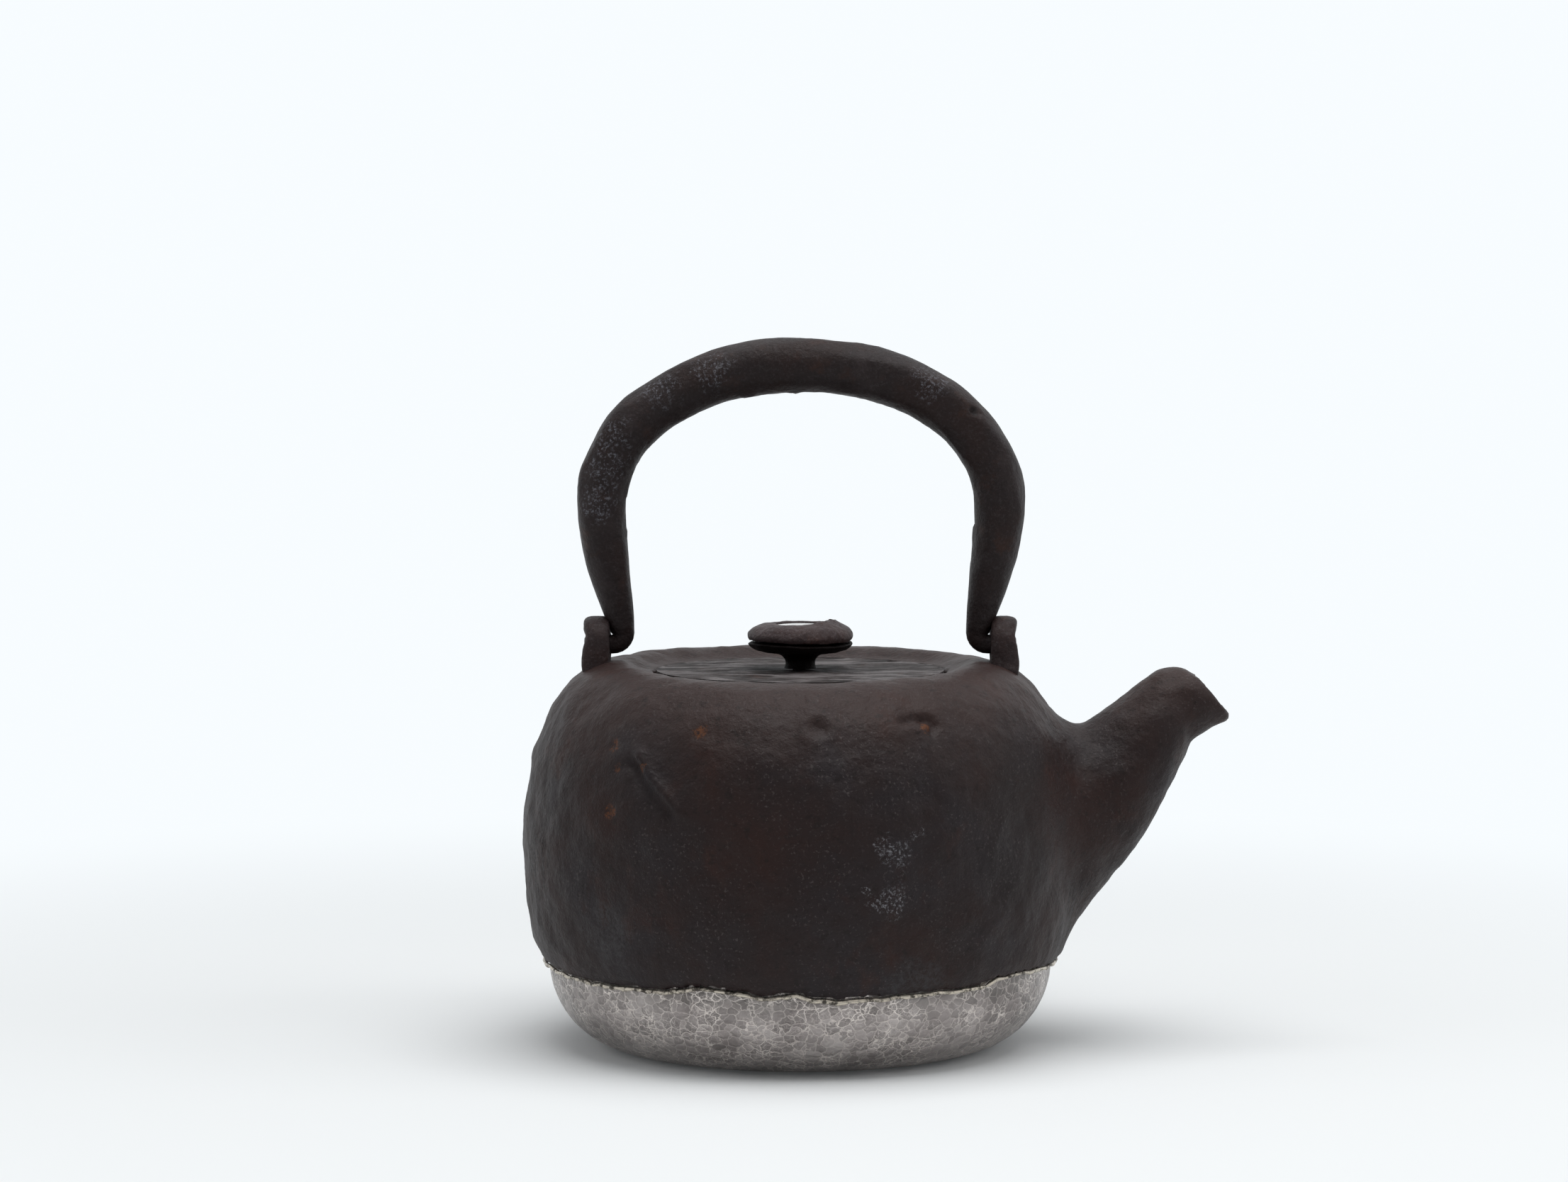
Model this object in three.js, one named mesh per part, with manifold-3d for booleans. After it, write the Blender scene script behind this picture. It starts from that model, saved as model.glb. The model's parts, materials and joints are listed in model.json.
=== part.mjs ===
// A cast iron kettle with a hammered silver bottom, a hollow forged bail and a lid with a riveted knob.
// Millimetres, +Z up. The origin is on the body's axis, at the centre of the flat that it rests on.
// The spout points along +X, and the bail stands over the body in the XZ plane.
import * as THREE from "three";
import { mergeVertices } from "three/addons/utils/BufferGeometryUtils.js";
import Module from "manifold-3d";

const wasm = await Module();
wasm.setup();

// Fits
const GAP = 0.3; // between two pieces that touch
const PIVOT_PLAY = 0.4; // round the bail's hooks in the ears

// Iron body
const BELLY_RADIUS = 78.8; // widest ring
const BELLY_HEIGHT = 56; // height of the widest ring
const SHOULDER_HEIGHT = 109.2; // top of the ring round the mouth
const SHOULDER_RADIUS = 51; // radius of that ring
const IRON_WALL = 3;
const HEM_HEIGHT = 24.2; // lower edge of the iron
const HEM_RADIUS = 73.4; // outer radius of the iron at that edge
const HEM_TURN = 1.085; // how fast the wall tucks in towards the hem: 1 is a full quarter round
const HEM_LIP = 1.7; // thickness of the iron at its lower edge
const HEM_LAND = 7; // height of the straight land inside the lower edge
const HEM_WAVE = 0.9; // how far the lower edge wanders up and down
const HEM_FADE = 6; // height over which that wave dies out
const WALL_CURVE = 2.2; // 2 is an ellipse, more is squarer

// Lid seat in the mouth
const LID_RADIUS = 40.8;
const LID_THICKNESS = 2.2;
const LID_CROWN = 0.8; // how much the middle of the lid stands above its edge
const LID_PLAY = 0.5; // round the lid's edge in its seat
const LID_PROUD = 0.4; // how far the lid's edge stands above the rim of its seat
const SEAT_DEPTH = 6.1; // from the shoulder ring down to the ledge
const SEAT_LEDGE = 5.4; // width of the ledge under the lid
const LEDGE_THICKNESS = 3.4;
const SEAT_WALL = 1.5; // iron behind the seat's rim, at its thinnest
const FLANGE_DEPTH = 7;
const FLANGE_WALL = 1.6;

// Silver bottom
const SILVER_FLAT_RADIUS = 46;
const SILVER_WALL = 1.6;
const SILVER_COLLAR = 8; // upstand inside the iron, above the hem
const SEAL_WIDTH = 1;
const SEAL_HEIGHT = 0.8;

// Spout
const SPOUT_REACH = 38.2; // from the widest ring out to the middle of the spout's mouth
const SPOUT_RISE = 43.2; // from the widest ring up to the middle of the spout's mouth
const SPOUT_ROOT_HIGH = 50;
const SPOUT_ROOT_WIDE = 42;
const SPOUT_MOUTH_HIGH = 17;
const SPOUT_MOUTH_WIDE = 17;
const SPOUT_MOUTH_TILT = 41; // degrees that the mouth leans back from upright
const SPOUT_WALL = 2.6;

// Ears
const EAR_CENTRE = 57.7; // distance of each ear from the body's axis
const EAR_WIDTH = 8.2; // along X, the width of the forged strap
const EAR_STRAP = 4.2; // thickness of the strap's legs
const EAR_CROWN = 4.9; // thickness of the strap over the hole
const EAR_TAPER = 1; // how much narrower the strap is above the pivot
const EAR_SET = 1.5; // how deep the legs are let into the shoulder

// Bail
const PIVOT_HEIGHT = 113.5;
const HOOK_DIAMETER = 5.4;
const HOOK_BEND = 3.3; // radius of the elbow's centre line
const HOOK_END = 0.8; // how far the hook stands out of the ear
const HOOK_CHAMFER = 0.8;
const BAIL_HALF_SPAN = 56; // centre line at its widest
const BAIL_SPRING_HEIGHT = 154; // height of the widest point
const BAIL_TOP_HEIGHT = 192.4; // centre line at the top
const BAIL_TOP_THICK = 16;
const BAIL_SIDE_THICK = 14.3;
const BAIL_NECK_THICK = 6;
const BAIL_NECK_LEAN = 2.1; // how far the leg leans out above its neck
const BAIL_WIDTH_RATIO = 1.06; // depth front to back over thickness
const BAIL_WALL = 1.8;
const WORM_HOLE_DIAMETER = 2.2; // the small hole in the hollow bail
const WORM_HOLE_ANGLE = 41; // degrees round the arch from its right spring
const WORM_HOLE_OFFSET = 4.2; // outwards from the centre line

// Knob
const KNOB_RADIUS = 15;
const STEM_RADIUS = 4.2;
const STEM_HEIGHT = 4;
const CUP_HEIGHT = 3.6;
const CAP_HEIGHT = 5;
const KNOB_DISH_RADIUS = 7.2;
const KNOB_DISH_DEPTH = 1.1;
const INLAY_THICKNESS = 0.6;
const RIVET_RADIUS = 1.8;
const RIVET_HEAD_RADIUS = 3.2;
const RIVET_HEAD_HEIGHT = 1.2;
const WASHER_RADIUS = 6;
const WASHER_THICKNESS = 1;

// Facets round each turned or swept piece
const BODY_SIDES = 48;
const SPOUT_SIDES = 28;
const BAIL_SIDES = 16;
const KNOB_SIDES = 32;

// Steps along the bail's centre line
const ARCH_STEPS = 11;
const LEG_STEPS = 8;
const BEND_STEPS = 4;

const FULL_TURN = 2 * Math.PI;
const radians = THREE.MathUtils.degToRad;
const mix = THREE.MathUtils.lerp;

// A closed geometry as a solid: only positions are kept, and shared corners are joined.
function solidOf(geometry) {
  const plain = new THREE.BufferGeometry();
  const source = geometry.index ? geometry.toNonIndexed() : geometry;
  plain.setAttribute("position", source.getAttribute("position").clone());
  const merged = mergeVertices(plain, 1e-4);
  const triangles = [];
  for (let i = 0; i < merged.index.count; i += 3) {
    const [a, b, c] = [0, 1, 2].map((k) => merged.index.getX(i + k));
    if (a !== b && b !== c && c !== a) triangles.push(a, b, c);
  }
  const build = (order) =>
    new wasm.Manifold(
      new wasm.Mesh({
        numProp: 3,
        vertProperties: new Float32Array(merged.attributes.position.array),
        triVerts: new Uint32Array(order),
      }),
    );
  const made = build(triangles);
  return made.volume() > 0 ? made : build(triangles.reverse());
}

// A solid as a named mesh.
function meshOf(name, solid, material) {
  const shape = solid.getMesh();
  const points = new Float32Array(shape.numVert * 3);
  for (let v = 0; v < shape.numVert; v++) {
    for (let k = 0; k < 3; k++) points[3 * v + k] = shape.vertProperties[v * shape.numProp + k];
  }
  const geometry = new THREE.BufferGeometry();
  geometry.setAttribute("position", new THREE.BufferAttribute(points, 3));
  geometry.setIndex(new THREE.BufferAttribute(new Uint32Array(shape.triVerts), 1));
  geometry.computeVertexNormals();
  const mesh = new THREE.Mesh(geometry, material);
  mesh.name = name;
  return mesh;
}

// Turns a list of [radius, height] about the Z axis.
function turnedGeometry(profile, sides) {
  const points = profile.map(([r, z]) => new THREE.Vector2(r, z));
  return new THREE.LatheGeometry(points, sides).rotateX(Math.PI / 2);
}

const turned = (profile, sides = BODY_SIDES) => solidOf(turnedGeometry(profile, sides));

// A washer-like ring between two radii and two heights.
const ring = (inner, outer, low, high, sides = BODY_SIDES) =>
  turned([[inner, low], [outer, low], [outer, high], [inner, high], [inner, low]], sides);

// A closed tube through rings of points, with both ends capped.
function loft(rings) {
  const triangles = [];
  const sides = rings[0].length;
  const push = (...corners) => corners.forEach((p) => triangles.push(p.x, p.y, p.z));
  for (let i = 0; i + 1 < rings.length; i++) {
    for (let k = 0; k < sides; k++) {
      const next = (k + 1) % sides;
      push(rings[i][k], rings[i][next], rings[i + 1][next]);
      push(rings[i][k], rings[i + 1][next], rings[i + 1][k]);
    }
  }
  const middle = (points) =>
    points.reduce((sum, p) => sum.add(p), new THREE.Vector3()).divideScalar(points.length);
  const [first, last] = [rings[0], rings[rings.length - 1]];
  const [start, end] = [middle(first), middle(last)];
  for (let k = 0; k < sides; k++) {
    const next = (k + 1) % sides;
    push(start, first[next], first[k]);
    push(end, last[k], last[next]);
  }
  const geometry = new THREE.BufferGeometry();
  geometry.setAttribute("position", new THREE.Float32BufferAttribute(triangles, 3));
  return solidOf(geometry);
}

// An oval ring about (x, z) in the XZ plane: half is its radius along (ux, uz), and halfY is across it.
function ovalRing(x, z, ux, uz, half, halfY, sides) {
  return Array.from({ length: sides }, (_, k) => {
    const angle = (FULL_TURN * k) / sides;
    const out = half * Math.cos(angle);
    return new THREE.Vector3(x + ux * out, halfY * Math.sin(angle), z + uz * out);
  });
}

// A quarter of a superellipse from (r0 + a, z0) round to (r0, z0 + b), as [radius, height] points.
function quarterCurve(r0, z0, a, b, steps, power = 2) {
  return Array.from({ length: steps + 1 }, (_, i) => {
    const t = (Math.PI / 2) * (i / steps);
    return [r0 + a * Math.cos(t) ** (2 / power), z0 + b * Math.sin(t) ** (2 / power)];
  });
}

// Heights in the mouth, worked down from the shoulder
const ledgeHeight = SHOULDER_HEIGHT - SEAT_DEPTH;
const seatRadius = LID_RADIUS + LID_PLAY;
const mouthRadius = seatRadius - SEAT_LEDGE;
const lidUnderside = ledgeHeight + GAP;
const lidEdgeTop = lidUnderside + LID_THICKNESS;
const lidTop = lidEdgeTop + LID_CROWN;

// Radii at the hem: the silver collar stands inside the iron's land
const landRadius = HEM_RADIUS - HEM_LIP;
const collarRadius = landRadius - GAP;

// The iron's outer wall from the hem up to the shoulder ring, set in by a distance.
function wallCurve(inset) {
  const bend = (share) => 1 - Math.sqrt(1 - (share / HEM_TURN) ** 2);
  const lower = [1, 0.85, 0.68, 0.48, 0.24].map((share) => {
    const tuck = ((BELLY_RADIUS - HEM_RADIUS) * bend(share)) / bend(1);
    return [BELLY_RADIUS - inset - tuck, mix(BELLY_HEIGHT, HEM_HEIGHT, share)];
  });
  const upper = quarterCurve(
    SHOULDER_RADIUS,
    BELLY_HEIGHT,
    BELLY_RADIUS - SHOULDER_RADIUS - inset,
    SHOULDER_HEIGHT - BELLY_HEIGHT - inset,
    11,
    WALL_CURVE,
  );
  return { lower, upper };
}

// How far the hem wanders from its level at an angle round the body.
function hemWave(angle) {
  return HEM_WAVE * (0.6 * Math.sin(3 * angle + 1) + 0.4 * Math.sin(7 * angle + 2));
}

// Bends the lower edge of a geometry to the hem's wave, fading out above it.
function waveHem(geometry) {
  const position = geometry.getAttribute("position");
  for (let i = 0; i < position.count; i++) {
    const [x, y, z] = [position.getX(i), position.getY(i), position.getZ(i)];
    const share = Math.max(0, 1 - Math.abs(z - HEM_HEIGHT) / HEM_FADE);
    position.setZ(i, z + hemWave(Math.atan2(y, x)) * share);
  }
  return geometry;
}

// The shoulder without its mouth, as a solid of revolution set in or out by a distance, for fitting the ears.
function shoulderSolid(inset) {
  const { upper } = wallCurve(inset);
  const top = SHOULDER_HEIGHT - inset;
  return turned([[0, BELLY_HEIGHT], ...upper, [0, top]]);
}

// Spout stations from the root inside the body to the mouth, as shares of the reach, rise, taper and tilt.
const SPOUT_SHAPE = [
  { out: -0.39, up: 0.17, size: 1.45, lean: 0 },
  { out: -0.14, up: 0.19, size: 1.13, lean: 0.04 },
  { out: -0.01, up: 0.21, size: 1, lean: 0.08 },
  { out: 0.2, up: 0.355, size: 0.82, lean: 0.22 },
  { out: 0.43, up: 0.565, size: 0.63, lean: 0.34 },
  { out: 0.59, up: 0.76, size: 0.43, lean: 0.42 },
  { out: 0.695, up: 0.88, size: 0.28, lean: 0.43 },
  { out: 0.78, up: 0.94, size: 0.155, lean: 0.34 },
  { out: 0.89, up: 0.97, size: 0.075, lean: 0.52 },
  { out: 1, up: 1, size: 0, lean: 1 },
];

function spoutRing(station, inset, push = 0) {
  const tilt = radians(SPOUT_MOUTH_TILT * station.lean);
  const high = mix(SPOUT_MOUTH_HIGH, SPOUT_ROOT_HIGH, station.size);
  const wide = mix(SPOUT_MOUTH_WIDE, SPOUT_ROOT_WIDE, station.size);
  const x = BELLY_RADIUS + SPOUT_REACH * station.out + push * Math.cos(tilt);
  const z = BELLY_HEIGHT + SPOUT_RISE * station.up + push * Math.sin(tilt);
  return ovalRing(x, z, -Math.sin(tilt), Math.cos(tilt), high / 2 - inset, wide / 2 - inset, SPOUT_SIDES);
}

function spoutOuter() {
  return loft(SPOUT_SHAPE.map((station) => spoutRing(station, 0)));
}

// The bore keeps the spout's wall, starts inside the body and runs out past the mouth.
function spoutBore() {
  const [root, ...rest] = SPOUT_SHAPE.slice(2);
  const start = { ...root, out: -0.6 };
  const rings = [start, root, ...rest].map((station) => spoutRing(station, SPOUT_WALL));
  const mouth = SPOUT_SHAPE[SPOUT_SHAPE.length - 1];
  return loft([...rings, spoutRing(mouth, SPOUT_WALL, SPOUT_WALL)]);
}

// Ears: a strap bent over the pivot, with both legs let into the shoulder. side is -1 or 1 along X.
const holeRadius = HOOK_DIAMETER / 2 + PIVOT_PLAY;
const earTop = PIVOT_HEIGHT + holeRadius + EAR_CROWN;
const earInner = EAR_CENTRE - EAR_WIDTH / 2;
const earOuter = EAR_CENTRE + EAR_WIDTH / 2;
const earFoot = SHOULDER_HEIGHT - 18; // well below the shoulder, where the legs are cut to its shape

// The strap seen along X, grown by a distance: two legs and the arch over the hole.
function strapShape(grow) {
  const half = holeRadius + EAR_STRAP + grow;
  const rise = holeRadius + EAR_CROWN + grow;
  const inside = holeRadius - grow;
  const strap = new THREE.Shape();
  strap.moveTo(-half, earFoot);
  strap.lineTo(-inside, earFoot);
  strap.lineTo(-inside, PIVOT_HEIGHT);
  strap.absellipse(0, PIVOT_HEIGHT, inside, inside, Math.PI, 0, true, 0);
  strap.lineTo(inside, earFoot);
  strap.lineTo(half, earFoot);
  strap.lineTo(half, PIVOT_HEIGHT);
  strap.absellipse(0, PIVOT_HEIGHT, half, rise, 0, Math.PI, false, 0);
  return strap;
}

// Extrudes a shape drawn in the YZ plane along X, from x0 to x1.
function alongX(shape, x0, x1) {
  const geometry = new THREE.ExtrudeGeometry(shape, {
    depth: x1 - x0,
    bevelEnabled: false,
    curveSegments: 10,
  });
  const turn = new THREE.Matrix4().makeBasis(
    new THREE.Vector3(0, 1, 0),
    new THREE.Vector3(0, 0, 1),
    new THREE.Vector3(1, 0, 0),
  );
  return solidOf(geometry.applyMatrix4(turn).translate(x0, 0, 0));
}

// The forged side view of an ear: a rounded crown that leans clear of the bail, and a fuller foot.
function earSideView() {
  const waist = earOuter - EAR_TAPER;
  const view = new THREE.Shape();
  view.moveTo(earInner, earFoot);
  view.lineTo(earOuter + GAP, earFoot);
  view.lineTo(earOuter, PIVOT_HEIGHT - 0.65 * holeRadius);
  view.lineTo(waist, PIVOT_HEIGHT + 0.65 * holeRadius);
  view.lineTo(waist, earTop - 0.45 * EAR_CROWN);
  view.quadraticCurveTo(waist, earTop, EAR_CENTRE + 0.5 * EAR_TAPER, earTop);
  view.quadraticCurveTo(earInner + EAR_TAPER, earTop, earInner, PIVOT_HEIGHT + holeRadius);
  return view;
}

// Extrudes a shape drawn in the XZ plane to both sides of Y = 0.
function acrossY(shape, halfDepth) {
  const geometry = new THREE.ExtrudeGeometry(shape, {
    depth: 2 * halfDepth,
    bevelEnabled: false,
    curveSegments: 6,
  });
  const turn = new THREE.Matrix4().makeBasis(
    new THREE.Vector3(1, 0, 0),
    new THREE.Vector3(0, 0, 1),
    new THREE.Vector3(0, -1, 0),
  );
  return solidOf(geometry.applyMatrix4(turn).translate(0, halfDepth, 0));
}

function mirroredX(solid, side) {
  return side > 0 ? solid : solid.mirror([1, 0, 0]);
}

// The room that a leg of the bail sweeps about its pivot, a gap wider than the leg, above the ear's foot.
function legSweep() {
  const leg = bailStations().filter(({ z }) => z > elbowHeight - 0.1 && z < earTop + 6);
  const start = earInner - 2 * HOOK_DIAMETER;
  const edge = leg.map(({ x, z, out, thick }) => [
    z + (out.y * thick) / 2 - PIVOT_HEIGHT,
    x + (out.x * thick) / 2 + GAP,
  ]);
  const reach = edge[0][0];
  const swept = turned([[0, start], [reach, start], ...edge, [0, edge[edge.length - 1][1]]], KNOB_SIDES)
    .rotate([0, 90, 0])
    .translate([0, 0, PIVOT_HEIGHT]);
  const foot = new THREE.BoxGeometry(8 * reach, 4 * reach, 2 * reach);
  return swept.subtract(solidOf(foot.translate(earInner, 0, PIVOT_HEIGHT - holeRadius - 2 - reach)));
}

function ear(side) {
  const half = holeRadius + EAR_STRAP + GAP;
  const strap = alongX(strapShape(0), earInner, earOuter + GAP);
  const shaped = strap.intersect(acrossY(earSideView(), half)).subtract(legSweep());
  return mirroredX(shaped.subtract(shoulderSolid(EAR_SET)), side);
}

// The mortise in the shoulder that one ear's legs sit in.
function earPocket(side) {
  const legs = alongX(strapShape(GAP), earInner - GAP, earOuter + 2 * GAP);
  return mirroredX(legs.subtract(shoulderSolid(EAR_SET + GAP)), side);
}

function ironBody() {
  const outer = wallCurve(0);
  const dishFoot = lidEdgeTop - LID_PROUD;
  const dishSlope = [0.25, 0.5, 0.75].map((share) => {
    const turn = share * Math.PI;
    const drop = (SHOULDER_HEIGHT - dishFoot) * (1 - Math.cos(turn)) * 0.5;
    return [mix(SHOULDER_RADIUS, seatRadius, share), SHOULDER_HEIGHT - drop];
  });
  const shell = waveHem(
    turnedGeometry(
      [
        [0, HEM_HEIGHT],
        ...outer.lower,
        ...outer.upper,
        ...dishSlope,
        [seatRadius, dishFoot],
        [seatRadius, ledgeHeight],
        [0, ledgeHeight],
      ],
      BODY_SIDES,
    ),
  );
  const inner = wallCurve(IRON_WALL);
  const landTop = HEM_HEIGHT + HEM_LAND;
  const below = HEM_HEIGHT - 2 * HEM_WAVE;
  const underLedge = ledgeHeight - LEDGE_THICKNESS;
  const hollow = turned([
    [0, below],
    [landRadius, below],
    [landRadius, landTop],
    ...inner.lower.filter(([, height]) => height > landTop + GAP),
    ...inner.upper,
    [seatRadius + SEAT_WALL, underLedge],
    [mouthRadius, underLedge],
    [mouthRadius, ledgeHeight + GAP],
    [0, ledgeHeight + GAP],
  ]);
  return solidOf(shell)
    .add(spoutOuter())
    .subtract(hollow)
    .subtract(spoutBore())
    .subtract(earPocket(1))
    .subtract(earPocket(-1));
}

// Outer and inner walls of the silver bowl; the collar stands inside the iron.
function silverBottom() {
  const bowlHeight = HEM_HEIGHT + HEM_WAVE;
  const collarTop = HEM_HEIGHT + SILVER_COLLAR;
  const bowl = (inset) =>
    quarterCurve(
      SILVER_FLAT_RADIUS,
      bowlHeight,
      collarRadius - SILVER_FLAT_RADIUS - inset,
      inset - bowlHeight,
      12,
      WALL_CURVE,
    ).reverse();
  return turned([
    [0, 0],
    ...bowl(0),
    [collarRadius, collarTop],
    [collarRadius - SILVER_WALL, collarTop],
    ...bowl(SILVER_WALL).reverse(),
    [0, SILVER_WALL],
  ]);
}

// The thin bead that closes the joint under the wavy hem.
function hemSeal() {
  const inner = collarRadius + GAP;
  const outer = inner + SEAL_WIDTH;
  const top = HEM_HEIGHT - GAP;
  const low = top - SEAL_HEIGHT;
  const profile = [[inner, low], [outer, low], [outer, top], [inner, top], [inner, low]];
  return solidOf(waveHem(turnedGeometry(profile, BODY_SIDES)));
}

// The centre line of the right half of the bail, from the top of the arch to the hook's end.
// Each station has its place, its outward direction and its thickness.
const neckX = earInner - PIVOT_PLAY - HOOK_BEND;
const elbowHeight = PIVOT_HEIGHT + HOOK_BEND;

function archPoint(angle) {
  const rise = BAIL_TOP_HEIGHT - BAIL_SPRING_HEIGHT;
  const [across, up] = [Math.cos(angle), Math.sin(angle)];
  const out = new THREE.Vector2(rise * across, BAIL_HALF_SPAN * up).normalize();
  return { x: BAIL_HALF_SPAN * across, z: BAIL_SPRING_HEIGHT + rise * up, out };
}

function bailStations() {
  const stations = [];
  for (let i = 0; i <= ARCH_STEPS; i++) {
    const share = i / ARCH_STEPS;
    const thick = mix(BAIL_TOP_THICK, BAIL_SIDE_THICK, share);
    stations.push({ ...archPoint((Math.PI / 2) * (1 - share)), thick });
  }
  const drop = BAIL_SPRING_HEIGHT - elbowHeight;
  const leg = new THREE.CubicBezierCurve(
    new THREE.Vector2(BAIL_HALF_SPAN, BAIL_SPRING_HEIGHT),
    new THREE.Vector2(BAIL_HALF_SPAN, BAIL_SPRING_HEIGHT - 0.38 * drop),
    new THREE.Vector2(neckX + BAIL_NECK_LEAN, elbowHeight + 0.3 * drop),
    new THREE.Vector2(neckX, elbowHeight),
  );
  for (let i = 1; i <= LEG_STEPS; i++) {
    const t = i / LEG_STEPS;
    const p = leg.getPoint(t);
    const along = leg.getTangent(t);
    const out = t < 1 ? new THREE.Vector2(-along.y, along.x) : new THREE.Vector2(1, 0);
    stations.push({ x: p.x, z: p.y, out, thick: mix(BAIL_SIDE_THICK, BAIL_NECK_THICK, t ** 1.7) });
  }
  for (let i = 1; i <= BEND_STEPS; i++) {
    const share = i / BEND_STEPS;
    const angle = (Math.PI / 2) * share;
    stations.push({
      x: neckX + HOOK_BEND * (1 - Math.cos(angle)),
      z: elbowHeight - HOOK_BEND * Math.sin(angle),
      out: new THREE.Vector2(Math.cos(angle), Math.sin(angle)),
      thick: mix(BAIL_NECK_THICK, HOOK_DIAMETER, share),
      round: share,
    });
  }
  const end = earOuter + GAP + HOOK_END;
  const upward = new THREE.Vector2(0, 1);
  const hook = { z: PIVOT_HEIGHT, out: upward, round: 1 };
  stations.push({ ...hook, x: end - HOOK_CHAMFER, thick: HOOK_DIAMETER });
  stations.push({ ...hook, x: end, thick: HOOK_DIAMETER - 2 * HOOK_CHAMFER });
  return stations;
}

// Rings on both halves, from the left end over the top to the right end.
function bailRings(stations, inset) {
  const ringAt = ({ x, z, out, thick, round = 0 }, side) => {
    const width = thick * mix(BAIL_WIDTH_RATIO, 1, round);
    return ovalRing(side * x, z, side * out.x, out.y, thick / 2 - inset, width / 2 - inset, BAIL_SIDES);
  };
  const left = stations.slice(1).reverse().map((station) => ringAt(station, -1));
  return [...left, ...stations.map((station) => ringAt(station, 1))];
}

function bail() {
  const stations = bailStations();
  const hollowCount = ARCH_STEPS + 1 + LEG_STEPS / 2; // solid from half way down each leg
  const cavity = loft(bailRings(stations.slice(0, hollowCount), BAIL_WALL));
  const { x, z, out } = archPoint(radians(WORM_HOLE_ANGLE));
  const depth = BAIL_TOP_THICK;
  const drill = new THREE.CylinderGeometry(WORM_HOLE_DIAMETER / 2, WORM_HOLE_DIAMETER / 2, depth, 10);
  drill.translate(x + out.x * WORM_HOLE_OFFSET, -depth / 2, z + out.y * WORM_HOLE_OFFSET);
  return loft(bailRings(stations, 0)).subtract(cavity).subtract(solidOf(drill));
}

// Lid and knob. Every piece on the rivet has the same bore.
const boreRadius = RIVET_RADIUS + GAP;

function lidPlate() {
  const crown = [0.75, 0.5, 0.25].map((share) => [
    LID_RADIUS * share,
    lidTop - LID_CROWN * share ** 2,
  ]);
  return turned([
    [boreRadius, lidUnderside],
    [LID_RADIUS, lidUnderside],
    [LID_RADIUS, lidEdgeTop],
    ...crown,
    [boreRadius, lidTop],
    [boreRadius, lidUnderside],
  ]);
}

function lidFlange() {
  const outer = mouthRadius - 2 * GAP;
  const top = lidUnderside - GAP;
  return ring(outer - FLANGE_WALL, outer, top - FLANGE_DEPTH, top);
}

const stemFoot = lidTop + GAP;
const cupBottom = stemFoot + STEM_HEIGHT;
const cupTop = cupBottom + CUP_HEIGHT;
const capBottom = cupTop + GAP;
const capTop = capBottom + CAP_HEIGHT;

function knobCup() {
  return turned(
    [
      [boreRadius, stemFoot],
      [1.07 * STEM_RADIUS, stemFoot],
      [STEM_RADIUS, stemFoot + 0.35 * STEM_HEIGHT],
      [1.12 * STEM_RADIUS, stemFoot + 0.7 * STEM_HEIGHT],
      [1.38 * STEM_RADIUS, cupBottom],
      [0.77 * KNOB_RADIUS, cupBottom + 0.22 * CUP_HEIGHT],
      [0.92 * KNOB_RADIUS, cupBottom + 0.52 * CUP_HEIGHT],
      [KNOB_RADIUS, cupBottom + 0.92 * CUP_HEIGHT],
      [0.97 * KNOB_RADIUS, cupTop],
      [boreRadius, cupTop],
      [boreRadius, stemFoot],
    ],
    KNOB_SIDES,
  );
}

// The cap is dished on top for the silver inlay, and bored blind from below for the rivet.
function knobCap() {
  const dishFloor = capTop - KNOB_DISH_DEPTH;
  const cap = turned(
    [
      [0, capBottom],
      [0.98 * KNOB_RADIUS, capBottom],
      [KNOB_RADIUS, capBottom + 0.2 * CAP_HEIGHT],
      [0.97 * KNOB_RADIUS, capBottom + 0.5 * CAP_HEIGHT],
      [0.87 * KNOB_RADIUS, capBottom + 0.78 * CAP_HEIGHT],
      [0.7 * KNOB_RADIUS, capBottom + 0.96 * CAP_HEIGHT],
      [1.14 * KNOB_DISH_RADIUS, capTop],
      [KNOB_DISH_RADIUS, capTop - 0.2 * KNOB_DISH_DEPTH],
      [KNOB_DISH_RADIUS, dishFloor],
      [0, dishFloor],
    ],
    KNOB_SIDES,
  );
  return cap.subtract(ring(0, boreRadius, capBottom - GAP, rivetTop + GAP, KNOB_SIDES));
}

function knobInlay() {
  const low = capTop - KNOB_DISH_DEPTH + GAP;
  const radius = KNOB_DISH_RADIUS - GAP;
  const middle = low + 0.6 * INLAY_THICKNESS; // beaten slightly hollow
  return turned([[0, low], [radius, low], [radius, low + INLAY_THICKNESS], [0, middle]], KNOB_SIDES);
}

const rivetTop = capBottom + 0.45 * CAP_HEIGHT;
const washerTop = lidUnderside - GAP;
const washerLow = washerTop - WASHER_THICKNESS;
const headTop = washerLow - GAP;

function knobRivet() {
  return turned(
    [
      [0, headTop - RIVET_HEAD_HEIGHT],
      [RIVET_HEAD_RADIUS * 0.6, headTop - 0.85 * RIVET_HEAD_HEIGHT],
      [RIVET_HEAD_RADIUS, headTop - 0.3 * RIVET_HEAD_HEIGHT],
      [RIVET_HEAD_RADIUS, headTop],
      [RIVET_RADIUS, headTop],
      [RIVET_RADIUS, rivetTop],
      [0, rivetTop],
    ],
    KNOB_SIDES,
  );
}

const knobWasher = () => ring(boreRadius, WASHER_RADIUS, washerLow, washerTop, KNOB_SIDES);

// Finishes
const metal = (colour, roughness, metalness) =>
  new THREE.MeshStandardMaterial({ color: colour, roughness, metalness });
const iron = metal(0x3d3230, 0.75, 0.35);
const forgedIron = metal(0x33292a, 0.7, 0.4);
const lidIron = metal(0x4a4341, 0.7, 0.4);
const silver = metal(0x9c9596, 0.4, 0.9);
const bead = metal(0x8c8474, 0.5, 0.7);

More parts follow.
